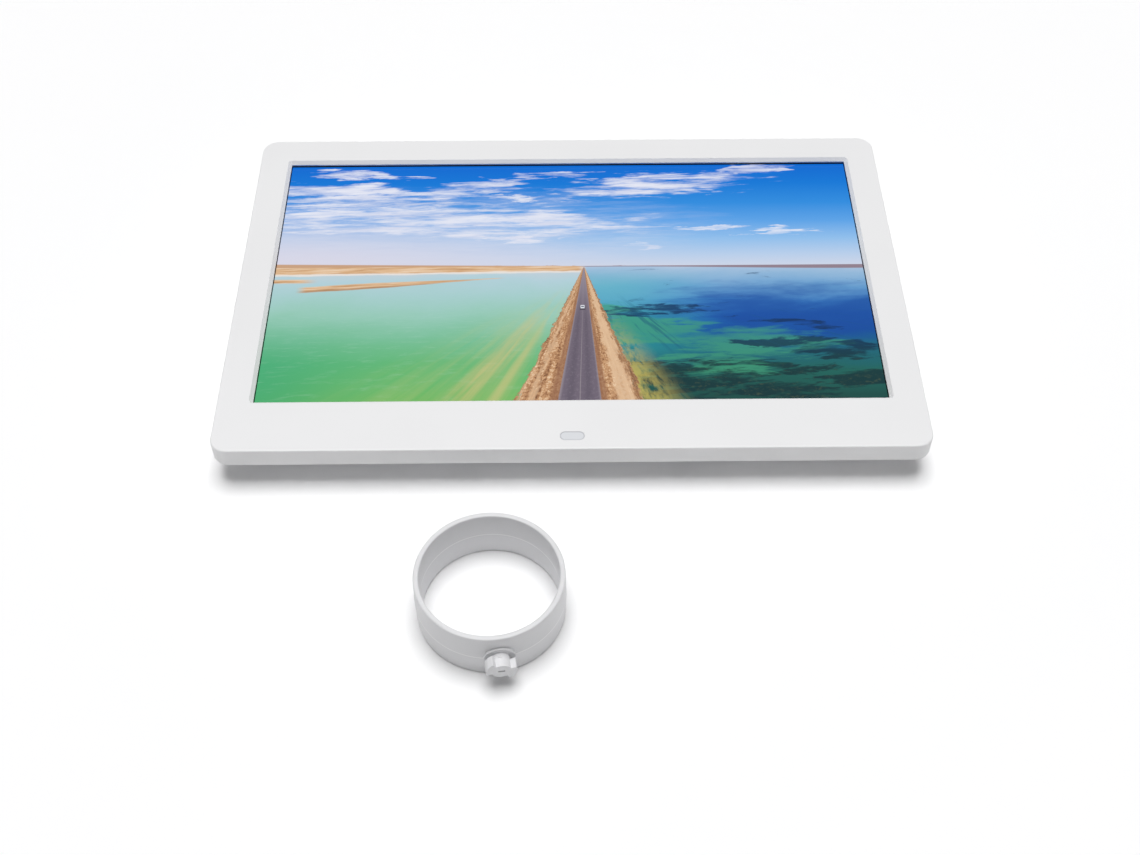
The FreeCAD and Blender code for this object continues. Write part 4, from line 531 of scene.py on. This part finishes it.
def circuit_material():
    """Green solder mask with copper tracks under it, and pads."""
    m = Material("circuit", Specular_IOR_Level=0.5)
    x, y, _ = m.place()
    tracks = m.cells(m.point(x, y, 0.0), 0.42, "DISTANCE_TO_EDGE", 0.75)
    pads = m.cells(m.point(x, y, 1.0), 0.33)
    track = tracks.rises(0.035, 0.015)
    pad = pads.rises(0.16, 0.12)
    base = m.colour((18, 78, 44)).mix((34, 112, 62), track * 0.8)
    base = base.mix((206, 190, 150), pad * 0.9)
    m.set(Base_Color=base, Roughness=0.38 - pad * 0.12, Metallic=pad * 0.9)
    return m.bump(track * 0.5 + pad, 0.00004, 0.5)


def foam_material():
    """Black foam with small open cells."""
    m = Material("foam")
    x, y, z = m.place()
    cell = m.cells(m.point(x, y, z), 3.2)
    m.set(Base_Color=m.colour((24, 24, 25)).mix((44, 44, 45), cell.rises(0.2, 0.7)), Roughness=0.95)
    return m.bump(cell, 0.0002, 0.8)


def make_materials():
    """A material for every slot that the record names."""
    made = {}
    made["white_shell"] = moulded("white_shell", (236, 236, 237), 0.36, 3.2, 0.00002,
                                  Specular_IOR_Level=0.45)
    made["white_rear"] = moulded("white_rear", (236, 236, 238), 0.58, 2.2, 0.00006, Specular_IOR_Level=0.4)
    made["white_stand"] = moulded("white_stand", (224, 224, 226), 0.36, 3.0, 0.00002, seam=ring_seam,
                                  Specular_IOR_Level=0.45)
    made["sensor_window"] = window_material()
    made["key"] = moulded("key", (228, 228, 231), 0.4, 2.6, 0.00002)
    made["white_inner"] = moulded("white_inner", (238, 238, 236), 0.55, 2.0, 0.00003)
    made["white_sheet"] = moulded("white_sheet", (246, 246, 246), 0.7, 1.0, 0.00001)
    made["header"] = moulded("header", (224, 220, 206), 0.5, 2.0, 0.00002)
    made["black_inner"] = moulded("black_inner", (26, 26, 28), 0.5, 2.0, 0.00004, 6.0)
    made["receiver"] = moulded("receiver", (22, 14, 22), 0.2, 1.0, 0.00001, 4.0)
    made["plunger"] = moulded("plunger", (34, 34, 36), 0.45, 2.0, 0.00003, 5.0)
    made["ferrite"] = moulded("ferrite", (62, 62, 66), 0.75, 1.2, 0.00006, 10.0)
    made["cone"] = moulded("cone", (30, 30, 31), 0.9, 1.6, 0.0001, 6.0)
    made["wire"] = moulded("wire", (32, 32, 34), 0.5, 1.5, 0.00002, 6.0)
    made["led"] = moulded("led", (240, 214, 120), 0.3, 1.5, 0.00001, 10.0)
    made["screen"] = moulded("screen", (12, 13, 15), 0.28, 2.0, 0.00001, 2.0)
    made["acrylic"] = moulded("acrylic", (226, 236, 236), 0.08, 0.3, 0.000002, Transmission_Weight=0.6)
    made["tin"] = sheet_metal("tin", (196, 196, 194), 0.32)
    made["steel_sheet"] = sheet_metal("steel_sheet", (176, 177, 180), 0.38)
    made["can"] = sheet_metal("can", (196, 198, 202), 0.3)
    made["switch"] = sheet_metal("switch", (170, 170, 173), 0.35)
    made["magnet"] = sheet_metal("magnet", (160, 160, 165), 0.3)
    made["screw"] = sheet_metal("screw", (138, 138, 142), 0.32)
    made["circuit"] = circuit_material()
    made["foam"] = foam_material()
    return made


MATERIALS = make_materials()
for subpart in frame["record"]["subparts"]:
    piece = frame["nodes"][subpart["node"]]
    piece.data.materials.clear()
    piece.data.materials.append(MATERIALS[subpart["material_slot"]].data)


# ------------------------------------------------------------------ pieces
def add_piece(name, mesh, material, body):
    """A new piece that rides on a body and takes the material it is given."""
    piece = bpy.data.objects.new(name, mesh)
    scene.collection.objects.link(piece)
    mesh.materials.append(material.data)
    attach(piece, body)
    return piece


def display_picture():
    """The lit area of the screen: a thin polariser film just in front of the glass, with a soft edge."""
    width, height, middle_y = 0.2561, 0.1440, 0.0055
    thick, edge, stands_off = 0.00006, 0.00002, 0.00005
    middle_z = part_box("screen_glass")[1].z + stands_off
    bm = bmesh.new()
    bmesh.ops.create_cube(bm, size=1.0)
    bmesh.ops.scale(bm, vec=(width, height, thick), verts=bm.verts)
    bmesh.ops.translate(bm, vec=(0.0, middle_y, middle_z), verts=bm.verts)
    rim = [e for e in bm.edges if all(v.co.z > middle_z for v in e.verts)]
    bmesh.ops.bevel(bm, geom=rim, offset=edge, segments=2, affect="EDGES")
    mesh = bpy.data.meshes.new("display_picture")
    bm.to_mesh(mesh)
    bm.free()
    return add_piece("display_picture", mesh, picture_material(), "frame")


display_picture()


# ------------------------------------------------------------------ floor, light and camera
FLOOR_SIZE, FLOOR_DROP = 80.0, 0.0002

# Strengths of the sky: straight up, from below, and the pale backdrop round the horizon. The backdrop is
# whole up to HORIZON_CORE and gone at HORIZON_HEIGHT; both are sines of the angle above the horizon.
SKY_ZENITH, GROUND_GLOW, BACKDROP = 0.43, 0.9, 0.88
HORIZON_HEIGHT, HORIZON_CORE = 0.13, 0.01

# The overhead light: its strength, its width in radians and the way it points.
SOFT_LIGHT, SOFT_ANGLE = 2.52, 0.62
LIGHT_AIM = Vector((0.0, -0.18, -1.5))

# The camera: its place from the middle of the frame, at the level of the face; its tilt, roll and
# turn in degrees; and its lens in millimetres.
CAMERA_PLACE = Vector((-0.00479, -0.45026, 0.45050))
CAMERA_ANGLES = (39.257, -0.012, -0.596)
CAMERA_LENS = 46.46


def floor():
    """A plain pale floor, wide enough to fill every view down to the horizon."""
    bpy.ops.mesh.primitive_plane_add(size=FLOOR_SIZE, location=(0.0, 0.0, -FLOOR_DROP))
    plane = bpy.context.object
    plane.name = "floor"
    m = Material("floor", Roughness=0.7, Specular_IOR_Level=0.2)
    x, y, z = m.place()
    tone = m.noise(m.point(x, y, z), 0.004, 2.0, 0.5)
    m.set(Base_Color=m.colour((254, 254, 254)).mix((252, 252, 253), tone))
    plane.data.materials.append(m.data)


def studio():
    """A wide soft light overhead and a sky that dims downwards, so that walls turn grey.

    The camera itself sees an even pale backdrop behind the floor.
    """
    world = bpy.data.worlds.new("studio")
    scene.world = world
    world.use_nodes = True
    tree = world.node_tree
    direction = tree.nodes.new("ShaderNodeTexCoord")
    split = tree.nodes.new("ShaderNodeSeparateXYZ")
    tree.links.new(direction.outputs["Generated"], split.inputs[0])
    height = Value(tree, split.outputs["Z"])
    above, below = height.most(0.0), (-height).most(0.0)
    horizon = abs(height).rises(HORIZON_HEIGHT, HORIZON_CORE)
    sky = above * above * SKY_ZENITH + below * GROUND_GLOW + horizon * BACKDROP
    seen = Value(tree, tree.nodes.new("ShaderNodeLightPath").outputs["Is Camera Ray"])
    background = tree.nodes["Background"]
    background.inputs["Color"].default_value = (1.0, 1.0, 1.0, 1.0)
    feed(tree, background.inputs["Strength"], sky.most(seen * BACKDROP))
    light = bpy.data.lights.new("overhead", "SUN")
    light.energy, light.angle = SOFT_LIGHT, SOFT_ANGLE
    lamp = bpy.data.objects.new("overhead", light)
    lamp.rotation_euler = LIGHT_AIM.to_track_quat("-Z", "Y").to_euler()
    scene.collection.objects.link(lamp)


def camera():
    """The camera, which looks down on the frame and the ring from in front."""
    data = bpy.data.cameras.new("camera")
    data.sensor_width, data.lens = 36.0, CAMERA_LENS
    data.clip_start, data.clip_end = 0.01, 100.0
    cam = bpy.data.objects.new("camera", data)
    cam.location = CAMERA_PLACE + Vector((0.0, 0.0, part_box("front_bezel")[1].z))
    cam.rotation_euler = [math.radians(angle) for angle in CAMERA_ANGLES]
    scene.collection.objects.link(cam)
    scene.camera = cam


floor()
studio()
camera()
